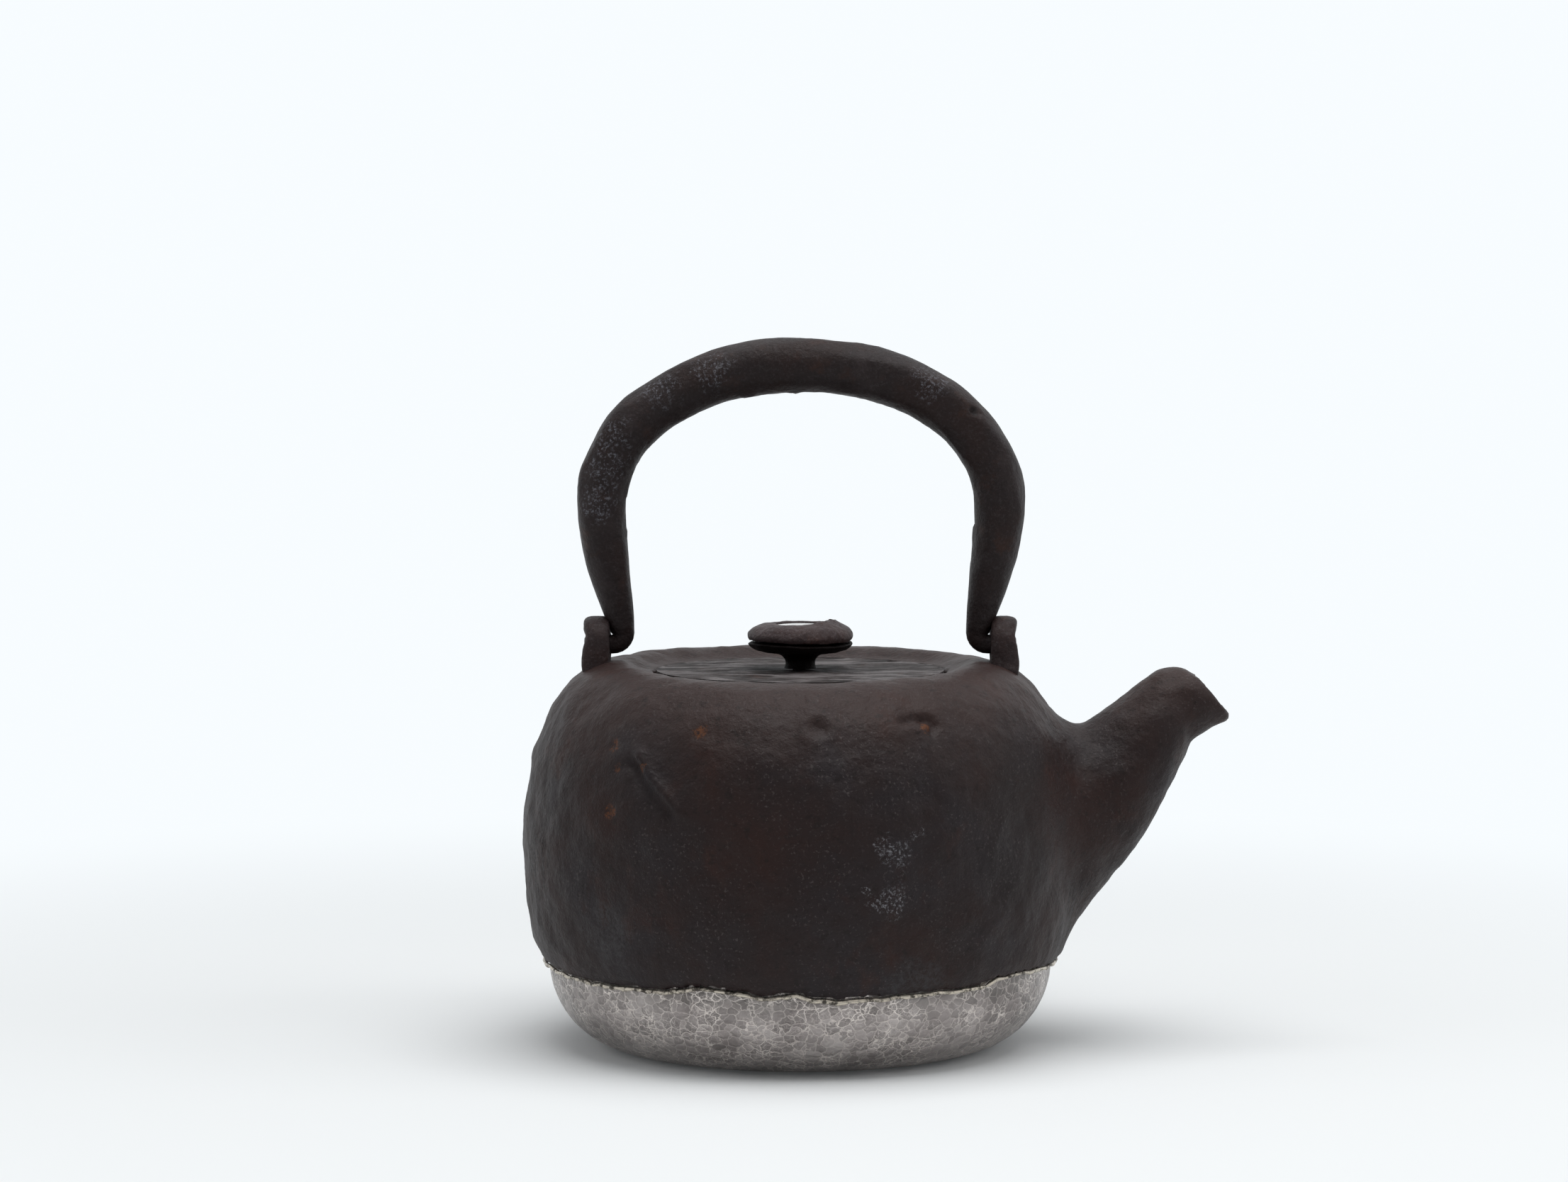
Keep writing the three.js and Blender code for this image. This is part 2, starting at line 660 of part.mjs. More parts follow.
const kettle = new THREE.Group();
kettle.add(
  meshOf("iron_body", ironBody(), iron),
  meshOf("silver_bottom", silverBottom(), silver),
  meshOf("hem_seal", hemSeal(), bead),
  meshOf("front_ear", ear(1), forgedIron),
  meshOf("rear_ear", ear(-1), forgedIron),
  meshOf("bail", bail(), forgedIron),
  meshOf("lid_plate", lidPlate(), lidIron),
  meshOf("lid_flange", lidFlange(), lidIron),
  meshOf("knob_cup", knobCup(), forgedIron),
  meshOf("knob_cap", knobCap(), forgedIron),
  meshOf("knob_inlay", knobInlay(), silver),
  meshOf("knob_washer", knobWasher(), lidIron),
  meshOf("knob_rivet", knobRivet(), forgedIron),
);

export default kettle;
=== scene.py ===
# %% [markdown]
# # A cast iron kettle with a hammered silver bottom
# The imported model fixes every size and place. This lesson gives the kettle its looks: a cast wall with its
# dents and rust, a bowl of hammered silver, a forged bail and a grained lid. Each piece is made in its own
# step, and each finish is a small recipe of shader nodes.

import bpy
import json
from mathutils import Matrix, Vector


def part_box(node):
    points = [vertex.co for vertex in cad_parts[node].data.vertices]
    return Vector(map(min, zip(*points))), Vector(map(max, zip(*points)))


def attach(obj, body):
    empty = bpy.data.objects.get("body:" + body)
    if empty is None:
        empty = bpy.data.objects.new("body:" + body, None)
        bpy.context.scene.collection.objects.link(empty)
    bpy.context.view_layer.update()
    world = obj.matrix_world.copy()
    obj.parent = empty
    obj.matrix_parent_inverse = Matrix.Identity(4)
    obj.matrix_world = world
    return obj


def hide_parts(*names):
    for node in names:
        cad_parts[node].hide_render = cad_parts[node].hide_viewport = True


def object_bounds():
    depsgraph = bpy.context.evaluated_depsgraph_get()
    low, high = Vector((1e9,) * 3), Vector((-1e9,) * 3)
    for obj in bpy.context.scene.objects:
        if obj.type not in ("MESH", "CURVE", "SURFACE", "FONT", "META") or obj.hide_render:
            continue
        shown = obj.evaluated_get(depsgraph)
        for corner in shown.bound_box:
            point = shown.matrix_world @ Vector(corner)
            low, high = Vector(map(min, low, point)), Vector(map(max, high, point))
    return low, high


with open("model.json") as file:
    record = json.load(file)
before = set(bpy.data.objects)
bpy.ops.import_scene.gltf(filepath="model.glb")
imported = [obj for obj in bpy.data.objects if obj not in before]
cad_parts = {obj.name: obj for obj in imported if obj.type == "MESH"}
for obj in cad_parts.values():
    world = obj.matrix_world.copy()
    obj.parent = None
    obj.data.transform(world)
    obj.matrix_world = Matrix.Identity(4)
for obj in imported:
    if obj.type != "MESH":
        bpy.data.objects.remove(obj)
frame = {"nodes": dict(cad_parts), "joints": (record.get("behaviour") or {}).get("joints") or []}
cad_low, cad_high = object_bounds()
print("CAD box", [round(v, 4) for v in (*cad_low, *cad_high)])

# %% [markdown]
# ## The camera
# The rings at the lid and at the hem look nearly closed, so the kettle was seen from far off and a little
# above. A long lens keeps those rings thin. It comes first because marks that are known by their place in
# the picture are laid on the surface by looking through it.

# %% The camera and a line of sight
import json
import math

import bmesh
import bpy
import numpy as np
from mathutils import Matrix, Vector, bvhtree, kdtree, noise

MM = 0.001
PICTURE_WIDTH = 2212
PICTURE_HEIGHT = 1667
FOCAL_PIXELS = 6230
CAMERA_PLACE = Vector((-4.6, -1246, 217)) * MM
CAMERA_PITCH = math.radians(4.06)

camera = bpy.data.objects.new("camera", bpy.data.cameras.new("camera"))
bpy.context.scene.collection.objects.link(camera)
camera.data.sensor_fit = "HORIZONTAL"
camera.data.lens = camera.data.sensor_width * FOCAL_PIXELS / PICTURE_WIDTH
camera.location = CAMERA_PLACE
camera.rotation_euler = (math.pi / 2 - CAMERA_PITCH, 0, 0)
bpy.context.scene.camera = camera


def sight(pixel):
    """The direction from the camera through a pixel of the picture."""
    across = (pixel[0] - PICTURE_WIDTH / 2) / FOCAL_PIXELS
    up = (PICTURE_HEIGHT / 2 - pixel[1]) / FOCAL_PIXELS
    return camera.rotation_euler.to_matrix() @ Vector((across, up, -1)).normalized()


print("lens", round(camera.data.lens, 1), "mm")

# %% [markdown]
# ## Helpers for shapes
# Most of the kettle is turned or drawn along a path. `turned` spins an outline, and `drawn` extrudes one ring
# from place to place, which keeps every face a neat quad. Both start a bmesh with a few corners and let an
# operator make the rest.


# %% Turned and drawn shapes
def turned(outline, steps):
    """Spins an outline of (radius, height) about the Z axis. A ring's outline ends where it starts."""
    shape = bmesh.new()
    corners = [shape.verts.new((radius, 0, height)) for radius, height in outline]
    edges = [shape.edges.new(pair) for pair in zip(corners, corners[1:])]
    bmesh.ops.spin(
        shape,
        geom=corners + edges,
        cent=(0, 0, 0),
        axis=(0, 0, 1),
        angle=2 * math.pi,
        steps=steps,
        use_merge=True,
    )
    bmesh.ops.remove_doubles(shape, verts=shape.verts, dist=0.001 * MM)
    bmesh.ops.recalc_face_normals(shape, faces=shape.faces)
    return shape


def placing(centre, side, other, half, other_half):
    """The matrix that lays a unit ring at a centre, along two directions and with two radii."""
    side = Vector(side).normalized()
    other = Vector(other).normalized()
    columns = [side * half, other * other_half, side.cross(other), Vector(centre)]
    return Matrix([[*row] for row in zip(*columns)]).to_4x4() @ Matrix.Identity(4)


def drawn(places, sides, squareness=2.0):
    """Extrudes a ring through a list of placings and closes both ends."""
    shape = bmesh.new()
    ring = bmesh.ops.create_circle(shape, segments=sides, radius=1)["verts"]
    for corner in ring:
        x, y = corner.co.x, corner.co.y
        grow = (abs(x) ** squareness + abs(y) ** squareness) ** (-1 / squareness)
        corner.co = (x * grow, y * grow, 0)
    edges = list(shape.edges)
    bmesh.ops.transform(shape, matrix=places[0], verts=ring)
    for before, after in zip(places, places[1:]):
        made = bmesh.ops.extrude_edge_only(shape, edges=edges)["geom"]
        ring = [part for part in made if isinstance(part, bmesh.types.BMVert)]
        edges = [part for part in made if isinstance(part, bmesh.types.BMEdge)]
        bmesh.ops.transform(shape, matrix=after @ before.inverted(), verts=ring)
    bmesh.ops.holes_fill(shape, edges=shape.edges, sides=0)
    bmesh.ops.recalc_face_normals(shape, faces=shape.faces)
    return shape


# %% [markdown]
# ## Helpers for surfaces
# No surface here is even. `ripple` gives soft random heights, for a cast or worn skin. `hammered` gives the
# flats that blows leave: it picks blows spread over the skin, and each point rises towards the lowest of the
# planes through the nearest blows, so that flats meet in soft ridges. A hollow side stays smooth.


# %% Reading and moving the points of a mesh
def mesh_of(name, shape):
    """A bmesh as a smooth-shaded mesh."""
    mesh = bpy.data.meshes.new(name)
    shape.to_mesh(mesh)
    shape.free()
    mesh.shade_smooth()
    return mesh


def points_of(mesh):
    """Every point of a mesh and the direction it faces, as two arrays."""
    points = np.zeros(3 * len(mesh.vertices))
    normals = np.zeros(3 * len(mesh.vertices))
    mesh.vertices.foreach_get("co", points)
    mesh.vertices.foreach_get("normal", normals)
    return points.reshape(-1, 3), normals.reshape(-1, 3)


def put_points(mesh, points):
    """Moves a mesh's points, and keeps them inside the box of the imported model."""
    inside = np.clip(points, cad_low, cad_high)
    mesh.vertices.foreach_set("co", inside.ravel())
    mesh.update()


def ripple(points, grain, octaves=3, shift=0.0):
    """Soft random heights from about -1 to 1, with bumps about one grain across."""
    start = Vector((shift, 2 * shift, -shift))
    return np.array([noise.fractal(Vector(p) / grain + start, 0.9, 2, octaves) for p in points.tolist()])


def hammered(points, normals, spacing, soften, seed):
    """Heights of the ridges between hammered flats, zero in the middle of each flat."""
    dice = np.random.default_rng(seed)
    blows = np.empty((0, 3))
    chosen = []
    for i in dice.permutation(len(points)):
        if not chosen or ((blows - points[i]) ** 2).sum(axis=1).min() > spacing**2:
            chosen.append(i)
            blows = points[chosen]
    tree = kdtree.KDTree(len(chosen))
    for i, blow in enumerate(blows):
        tree.insert(blow, i)
    tree.balance()
    near = np.array([[found[1] for found in tree.find_n(p, 6)] for p in points.tolist()])
    away = blows[near] - points[:, None, :]
    facing = normals[chosen][near]
    rise = (away * facing).sum(axis=2)
    slant = (normals[:, None, :] * facing).sum(axis=2)
    height = np.where(slant > 0.5, np.maximum(rise, 0) / np.maximum(slant, 0.5), 5 * soften)
    return -soften * np.log(np.exp(-height / soften).sum(axis=1) / 2)


def finished(name, mesh, finish, body, slot, *nodes):
    """Makes a mesh a piece that rides on a body, wears a finish and stands for CAD nodes."""
    mesh.set_sharp_from_angle(angle=math.radians(60))
    mesh.materials.append(finish)
    piece = bpy.data.objects.new(name, mesh)
    bpy.context.scene.collection.objects.link(piece)
    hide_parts(*nodes)
    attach(piece, body)
    mesh.calc_loop_triangles()
    print(name, len(mesh.loop_triangles), "triangles")
    return piece


# %% [markdown]
# ## Helpers for finishes
# A finish is worked out from where a point lies on its piece, in metres. `Recipe` wraps a node tree and
# `Link` one of its outputs, so that shader maths reads as ordinary Python: `1 - mask` adds a Math node.


# %% A small language for shader nodes
class Link:
    """An output of a node. Arithmetic on links adds Math nodes."""

    def __init__(self, recipe, socket):
        self.recipe = recipe
        self.socket = socket

    def maths(self, operation, *terms):
        return self.recipe.node("ShaderNodeMath", {"operation": operation}, dict(enumerate(terms)))

    def __add__(self, other):
        return self.maths("ADD", self, other)

    def __radd__(self, other):
        return self.maths("ADD", other, self)

    def __sub__(self, other):
        return self.maths("SUBTRACT", self, other)

    def __rsub__(self, other):
        return self.maths("SUBTRACT", other, self)

    def __mul__(self, other):
        return self.maths("MULTIPLY", self, other)

    def __rmul__(self, other):
        return self.maths("MULTIPLY", other, self)

    def highest(self, other):
        return self.maths("MAXIMUM", self, other)


class Recipe:
    """A node tree being written: a material's or the world's."""

    def __init__(self, owner):
        owner.use_nodes = True
        self.owner = owner
        self.tree = owner.node_tree

    def node(self, kind, settings=None, sockets=None, output=0):
        made = self.tree.nodes.new(kind)
        for name, value in (settings or {}).items():
            if name == "stops":
                self.set_stops(made.color_ramp, value)
            else:
                setattr(made, name, value)
        for key, value in (sockets or {}).items():
            self.plug(made.inputs[key], value)
        return Link(self, made.outputs[output])

    def set_stops(self, ramp, stops):
        while len(ramp.elements) < len(stops):
            ramp.elements.new(1)
        for element, (place, colour) in zip(ramp.elements, stops):
            element.position = place
            element.color = (*colour, 1)

    def plug(self, socket, value):
        if isinstance(value, Link):
            self.tree.links.new(value.socket, socket)
        elif socket.type == "RGBA":
            socket.default_value = (*value, 1)
        else:
            socket.default_value = value

    def place(self, stretch=(1, 1, 1), turn=(0, 0, 0)):
        """The point's place on the piece, stretched or turned."""
        here = self.node("ShaderNodeTexCoord", output="Object")
        return self.node("ShaderNodeMapping", sockets={"Vector": here, "Scale": stretch, "Rotation": turn})

    def cloud(self, grain, detail=3.0, roughness=0.55, place=None):
        """Soft noise from 0 to 1, with blots about one grain across."""
        sockets = {"Scale": 1 / grain, "Detail": detail, "Roughness": roughness}
        sockets["Vector"] = place or self.place()
        return self.node("ShaderNodeTexNoise", sockets=sockets)

    def cells(self, grain, feature="DISTANCE_TO_EDGE", place=None, output=0):
        """A network of cells about one grain across: how far a point lies from the nearest edge."""
        sockets = {"Scale": 1 / grain, "Vector": place or self.place()}
        return self.node("ShaderNodeTexVoronoi", {"feature": feature}, sockets, output)

    def between(self, value, low, high):
        """0 below low, 1 above high, and a soft step from one to the other."""
        sockets = {"Value": value, "From Min": low, "From Max": high}
        return self.node("ShaderNodeMapRange", {"interpolation_type": "SMOOTHSTEP"}, sockets)

    def spread(self, value, low, high):
        """A value from 0 to 1 spread from low to high."""
        return self.node("ShaderNodeMapRange", {}, {"Value": value, "To Min": low, "To Max": high})

    def colours(self, factor, *stops):
        """A colour picked by a factor from stops of (place, colour)."""
        return self.node("ShaderNodeValToRGB", {"stops": stops}, {"Fac": factor})

    def over(self, under, factor, colour, way="MIX"):
        """A colour laid over another one by a factor."""
        settings = {"data_type": "RGBA", "blend_type": way}
        return self.node("ShaderNodeMix", settings, {0: factor, 6: under, 7: colour}, 2)

    def near(self, point, radius, ragged=0.0, grain=2 * MM):
        """1 at a point and 0 beyond a radius, with an edge as ragged as asked."""
        away = self.node(
            "ShaderNodeVectorMath", {"operation": "DISTANCE"}, {0: self.place(), 1: point}, "Value"
        )
        edge = away + ragged * radius * (self.cloud(grain) - 0.5)
        return 1 - self.between(edge, 0.45 * radius, radius)

    def height(self):
        return self.node("ShaderNodeSeparateXYZ", sockets={0: self.place()}, output="Z")

    def bump(self, height, depth, under=None):
        """A normal bent by a height that runs from 0 to 1 over a depth in metres."""
        sockets = {"Height": height, "Distance": depth, "Strength": 1}
        if under:
            sockets["Normal"] = under
        return self.node("ShaderNodeBump", {}, sockets)

    def surface(self, **sockets):
        """Sets the sockets of the surface's shader."""
        shader = next(n for n in self.tree.nodes if n.type == "BSDF_PRINCIPLED")
        for name, value in sockets.items():
            self.plug(shader.inputs[name.replace("_", " ")], value)
        return self.owner


def new_recipe(name):
    return Recipe(bpy.data.materials.new(name))


# %% [markdown]
# ## The outline of the wall
# The wall is a body of revolution: a squarish quarter round over the belly, a slower curve down to the hem,
# and a soft dish inside the shoulder ring that falls to the lid's seat. It is written as a closed outline in
# the (radius, height) plane. The same outline serves twice: it is spun into a skin, and it tells how far any
# point lies from the wall, which later joins the spout with a smooth fillet.

# %% Sizes of the wall, read from the frame
belly_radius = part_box("iron_body")[1].y
shoulder_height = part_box("iron_body")[1].z
lid_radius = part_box("lid_plate")[1].x
lid_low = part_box("lid_plate")[0].z
BELLY_HEIGHT = 56 * MM
SHOULDER_RADIUS = 51 * MM
HEM_HEIGHT = 24.2 * MM
HEM_RADIUS = 73.4 * MM
HEM_TURN = 1.085
HEM_EDGE = 0.9 * MM
HEM_LIP = 1.7 * MM
HEM_LAND = 7 * MM
IRON_WALL = 3 * MM
WALL_POWER = 2.2
GAP = 0.3 * MM
SEAT_RADIUS = lid_radius + 0.5 * MM
SEAT_HEIGHT = lid_low - GAP
SEAT_RIM = lid_low + 2.7 * MM
SHOULDER_SAG = 1.9 * MM
LEDGE = 5.4 * MM
LEDGE_THICKNESS = 3.4 * MM
BEYOND = -20 * MM  # past the axis, so that the axis is no edge of an outline
print("belly", round(belly_radius / MM, 1), "mm, shoulder", round(shoulder_height / MM, 1), "mm")


def quarter_round(centre, reach, steps, power=2.0):
    """A quarter of a rounded square, from straight out of its centre to straight above or below it."""
    turns = [math.pi / 2 * i / steps for i in range(steps + 1)]
    return [
        (
            centre[0] + reach[0] * math.cos(turn) ** (2 / power),
            centre[1] + reach[1] * math.sin(turn) ** (2 / power),
        )
        for turn in turns
    ]


def lower_wall(inset, steps):
    """From the hem up to just under the belly."""
    wall = []
    for i in range(steps):
        share = 1 - i / steps
        bend = (1 - math.sqrt(1 - (share / HEM_TURN) ** 2)) / (1 - math.sqrt(1 - 1 / HEM_TURN**2))
        height = BELLY_HEIGHT + share * (HEM_HEIGHT - BELLY_HEIGHT)
        wall.append((belly_radius - inset - bend * (belly_radius - HEM_RADIUS), height))
    return wall


def upper_wall(inset, steps):
    """From the belly over to the shoulder ring."""
    reach = (belly_radius - SHOULDER_RADIUS - inset, shoulder_height - BELLY_HEIGHT - inset)
    return quarter_round((SHOULDER_RADIUS, BELLY_HEIGHT), reach, steps, WALL_POWER)


def dish(steps):
    """From the shoulder ring down to the rim of the lid's seat."""
    shares = [(i + 1) / steps for i in range(steps)]
    drop = shoulder_height - SEAT_RIM
    return [
        (
            SHOULDER_RADIUS + share * (SEAT_RADIUS - SHOULDER_RADIUS),
            shoulder_height - drop * (1 - math.cos(math.pi * share)) / 2,
        )
        for share in shares
    ]


outer_outline = [
    (BEYOND, HEM_HEIGHT),
    *quarter_round((HEM_RADIUS - HEM_EDGE, HEM_HEIGHT + HEM_EDGE), (HEM_EDGE, -HEM_EDGE), 4)[::-1],
    *[spot for spot in lower_wall(0, 16) if spot[1] > HEM_HEIGHT + 1.5 * HEM_EDGE],
    *upper_wall(0, 36),
    *dish(10),
    (SEAT_RADIUS, SEAT_HEIGHT),
    (BEYOND, SEAT_HEIGHT),
]
land_radius = HEM_RADIUS - HEM_LIP
land_top = HEM_HEIGHT + HEM_LAND
mouth_radius = SEAT_RADIUS - LEDGE
ledge_under = SEAT_HEIGHT - LEDGE_THICKNESS
hollow_outline = [
    (BEYOND, HEM_HEIGHT - 5 * MM),
    (land_radius, HEM_HEIGHT - 5 * MM),
    (land_radius, land_top),
    *[spot for spot in lower_wall(IRON_WALL, 16) if spot[1] > land_top + 2 * MM],
    *upper_wall(IRON_WALL, 24),
    (SEAT_RADIUS + 1.5 * MM, ledge_under),
    (mouth_radius, ledge_under),
    (mouth_radius, SEAT_HEIGHT + 2 * MM),
    (BEYOND, SEAT_HEIGHT + 2 * MM),
]


def outline_distance(outline, radius, height):
    """How far points lie outside a closed outline, below zero inside it."""
    nearest = np.full(radius.shape, np.inf)
    inside = np.zeros(radius.shape, bool)
    for (r0, z0), (r1, z1) in zip(outline, outline[1:] + outline[:1]):
        run, rise = r1 - r0, z1 - z0
        share = np.clip(((radius - r0) * run + (height - z0) * rise) / (run**2 + rise**2), 0, 1)
        gap = np.hypot(radius - r0 - share * run, height - z0 - share * rise)
        nearest = np.minimum(nearest, gap)
        if rise:
            crosses = (z0 > height) != (z1 > height)
            inside ^= crosses & (radius < r0 + (height - z0) * run / rise)
    return np.where(inside, -nearest, nearest)


# %% [markdown]
# ## The wavy hem and the sagging shoulder
# The iron's lower edge was never ground straight: it wanders up and down between soft corners, and rises
# towards the spout. The same wave bends the wall, and the bead of solder under it. The shoulder isn't level
# either. It sags a little at the front, so that the lid's near edge shows over it.

# %% The wave of the hem
HEM_FADE = 6 * MM
# Each corner of the hem: degrees about the body from the front, and millimetres above the hem's level.
HEM_CORNERS = [
    (-180, 1.1),
    (-150, 0.3),
    (-120, 1.4),
    (-95, 0.5),
    (-75, 0.9),
    (-47, 0.2),
    (-36, 0.8),
    (-31, 0.5),
    (-24, 2.2),
    (-19, 2.4),
    (-12, 1.2),
    (-7, 0.3),
    (-1, 1.5),
    (3, -0.1),
    (8, -0.5),
    (28, 0.5),
    (42, 0.5),
    (48, 2.1),
    (55, 2.6),
    (72, 1.5),
    (100, 0.6),
    (125, 1.6),
    (150, 0.2),
    (180, 1.1),
]
corner_angles, corner_heights = np.array(HEM_CORNERS).T


def hem_wave(angle):
    """How far the hem lies above its level at an angle about the body."""
    from_front = (np.degrees(angle) + 270) % 360 - 180
    wave = MM * np.interp(from_front, corner_angles, corner_heights)
    return wave + 0.12 * MM * np.sin(41 * angle) + 0.08 * MM * np.sin(67 * angle + 1)


def unwaved(points):
    """The height that each point would have if the hem were level and the shoulder didn't sag."""
    fade = np.clip(1 - np.abs(points[:, 2] - HEM_HEIGHT) / HEM_FADE, 0, 1)
    level = points[:, 2] - fade * hem_wave(np.arctan2(points[:, 1], points[:, 0]))
    radius = np.hypot(points[:, 0], points[:, 1])
    front = np.clip(-points[:, 1] / np.maximum(radius, MM), 0, 1) ** 2
    shoulder = np.clip((level - 80 * MM) / (24 * MM), 0, 1) * np.clip((radius - SEAT_RADIUS) / (7 * MM), 0, 1)
    return level + SHOULDER_SAG * front * shoulder


# %% [markdown]
# ## The spout
# The spout is cast in one with the body: a wide oval root that narrows as it climbs, a slight neck, and a lip
# cut back like a duck's bill. Its sections are given at nine stations and joined by smooth curves. As with
# the wall, a function tells how far a point lies outside it.

# %% The sections of the spout
SPOUT_REACH = 38.2 * MM
SPOUT_RISE = 43.2 * MM
ROOT_HIGH, ROOT_WIDE, MOUTH_SIZE = 50 * MM, 42 * MM, 17 * MM
MOUTH_TILT = math.radians(41)
SPOUT_WALL = 2.6 * MM
LIP_ROUND = 2.2 * MM
STATIONS = np.array(
    [
        (-0.4, 0.16, 1.0, 0.0),
        (-0.01, 0.21, 1.0, 0.08),
        (0.2, 0.355, 0.82, 0.22),
        (0.43, 0.565, 0.63, 0.34),
        (0.59, 0.76, 0.43, 0.42),
        (0.695, 0.88, 0.28, 0.43),
        (0.78, 0.94, 0.155, 0.34),
        (0.89, 0.97, 0.075, 0.52),
        (1.0, 1.0, 0.0, 1.0),
    ]
)


def smooth_through(knots, steps):
    """Points on a smooth curve through the knots, with a number of steps between each two."""
    padded = np.vstack([2 * knots[0] - knots[1], knots, 2 * knots[-1] - knots[-2]])
    curve = []
    for a, b, c, d in zip(padded, padded[1:], padded[2:], padded[3:]):
        for share in np.arange(steps) / steps:
            slope = c - a + share * (2 * a - 5 * b + 4 * c - d + share * (3 * b - a - 3 * c + d))
            curve.append(b + 0.5 * share * slope)
    return np.array([*curve, knots[-1]])


out, up, size, lean = smooth_through(STATIONS, 6).T
spout_x = belly_radius + SPOUT_REACH * out
spout_z = BELLY_HEIGHT + SPOUT_RISE * up
spout_tilt = MOUTH_TILT * lean
spout_high = (MOUTH_SIZE + (ROOT_HIGH - MOUTH_SIZE) * size) / 2
spout_wide = (MOUTH_SIZE + (ROOT_WIDE - MOUTH_SIZE) * size) / 2


def spout_places(inset, push):
    """Placings of the spout's sections, with the last one pushed on past the mouth."""
    places = []
    for i in range(len(spout_x)):
        along = Vector((math.cos(spout_tilt[i]), 0, math.sin(spout_tilt[i])))
        climb = Vector((-along.z, 0, along.x))
        centre = Vector((spout_x[i], 0, spout_z[i]))
        places.append(placing(centre, climb, (0, 1, 0), spout_high[i] - inset, spout_wide[i] - inset))
    beyond = Matrix.Translation(along * push)
    return [*places, beyond @ places[-1]] if push else places


def rounded_most(first, second, width):
    """The larger of two distances, with the edge where they meet rounded over a width."""
    share = np.clip(0.5 + 0.5 * (first - second) / width, 0, 1)
    return second + share * (first - second) + width * share * (1 - share)


def spout_distance(points, inset, push):
    """About how far points lie outside the spout, when its skin is set in and its mouth pushed on."""
    x, y, z = points.T
    ahead = (x[:, None] - spout_x) * np.cos(spout_tilt) + (z[:, None] - spout_z) * np.sin(spout_tilt)
    first = np.clip((ahead > 0).sum(axis=1) - 1, 0, len(spout_x) - 2)
    rows = np.arange(len(x))
    here, there = ahead[rows, first], ahead[rows, first + 1]
    share = np.clip(here / np.where(here == there, 1, here - there), 0, 1)

    def at(values):
        return values[first] + share * (values[first + 1] - values[first])

    climb = (z - at(spout_z)) * np.cos(at(spout_tilt)) - (x - at(spout_x)) * np.sin(at(spout_tilt))
    high, wide = at(spout_high) - inset, at(spout_wide) - inset
    skin = (np.hypot(climb / high, y / wide) - 1) * np.minimum(high, wide)
    return rounded_most(skin, np.maximum(ahead[:, -1] - push, -ahead[:, 0]), LIP_ROUND)


# %% [markdown]
# ## Casting the wall in one piece
# Wall and spout are one casting, so no seam may show between them. The rough blank is made with booleans and
# a voxel remesh, which gives an even net of quads with no seam. Then every point is drawn onto the true
# surface: the smooth union of wall and spout, less the hollow and the bore. That takes away the steps of the
# voxels and leaves a soft fillet at the root of the spout.

# %% The rough blank
BLANK_STEPS = 120
VOXEL = 1.25 * MM
FILLET = 11 * MM
BORE_PUSH = 4 * MM
EDGE_ROUND = 1.3 * MM


def closed_outline(outline):
    """The part of an outline on this side of the axis, ready to spin into a closed solid."""
    return [(max(radius, 0), height) for radius, height in outline]


def loose_object(name, shape):
    """A bmesh as an object that only helps to shape another one."""
    made = bpy.data.objects.new(name, mesh_of(name, shape))
    bpy.context.scene.collection.objects.link(made)
    return made


def wave_blank(shape):
    """Bends the hem of the blank to its wave."""
    for corner in shape.verts:
        fade = max(0, 1 - abs(corner.co.z - HEM_HEIGHT) / HEM_FADE)
        corner.co.z += fade * hem_wave(math.atan2(corner.co.y, corner.co.x))
    return shape


blank = loose_object("blank", wave_blank(turned(closed_outline(outer_outline), BLANK_STEPS)))
helpers = {
    "spout": ("UNION", drawn(spout_places(0, 0), 48)),
    "hollow": ("DIFFERENCE", turned(closed_outline(hollow_outline), BLANK_STEPS)),
    "bore": ("DIFFERENCE", drawn(spout_places(SPOUT_WALL, BORE_PUSH), 48)),
}
helper_objects = []
for name, (way, shape) in helpers.items():
    helper_objects.append(loose_object(name, shape))
    cut = blank.modifiers.new(name, "BOOLEAN")
    cut.operation = way
    cut.solver = "EXACT"
    cut.object = helper_objects[-1]
net = blank.modifiers.new("net", "REMESH")
net.mode = "VOXEL"
net.voxel_size = VOXEL
bpy.context.view_layer.update()
casting = bpy.data.meshes.new_from_object(blank.evaluated_get(bpy.context.evaluated_depsgraph_get()))
for made in [blank, *helper_objects]:
    bpy.data.objects.remove(made)
print("blank", len(casting.vertices), "points")


# %% Drawing the points onto the true surface
def outer_distance(points):
    """How far points lie outside the casting, as if it were solid."""
    wall = outline_distance(outer_outline, np.hypot(points[:, 0], points[:, 1]), unwaved(points))
    spout = spout_distance(points, 0, 0)
    share = np.clip(0.5 + 0.5 * (spout - wall) / FILLET, 0, 1)
    return spout + share * (wall - spout) - FILLET * share * (1 - share)


def inner_distance(points):
    """How far points lie outside the hollow and the bore."""
    hollow = outline_distance(hollow_outline, np.hypot(points[:, 0], points[:, 1]), points[:, 2])
    return np.minimum(hollow, spout_distance(points, SPOUT_WALL, BORE_PUSH))


def sharp_distance(points):
    """How far points lie outside the wall and the spout, with no fillet between them."""
    wall = outline_distance(outer_outline, np.hypot(points[:, 0], points[:, 1]), unwaved(points))
    return np.minimum(wall, spout_distance(points, 0, 0))


def slope_of(distance, points, here):
    """The direction in which a distance grows, found by small steps."""
    step = 0.05 * MM
    slope = np.stack([(distance(points + step * axis) - here) / step for axis in np.eye(3)], axis=1)
    return slope / np.maximum(np.linalg.norm(slope, axis=1, keepdims=True), 0.3)


points, _ = points_of(casting)
on_outside = sharp_distance(points) > -inner_distance(points)


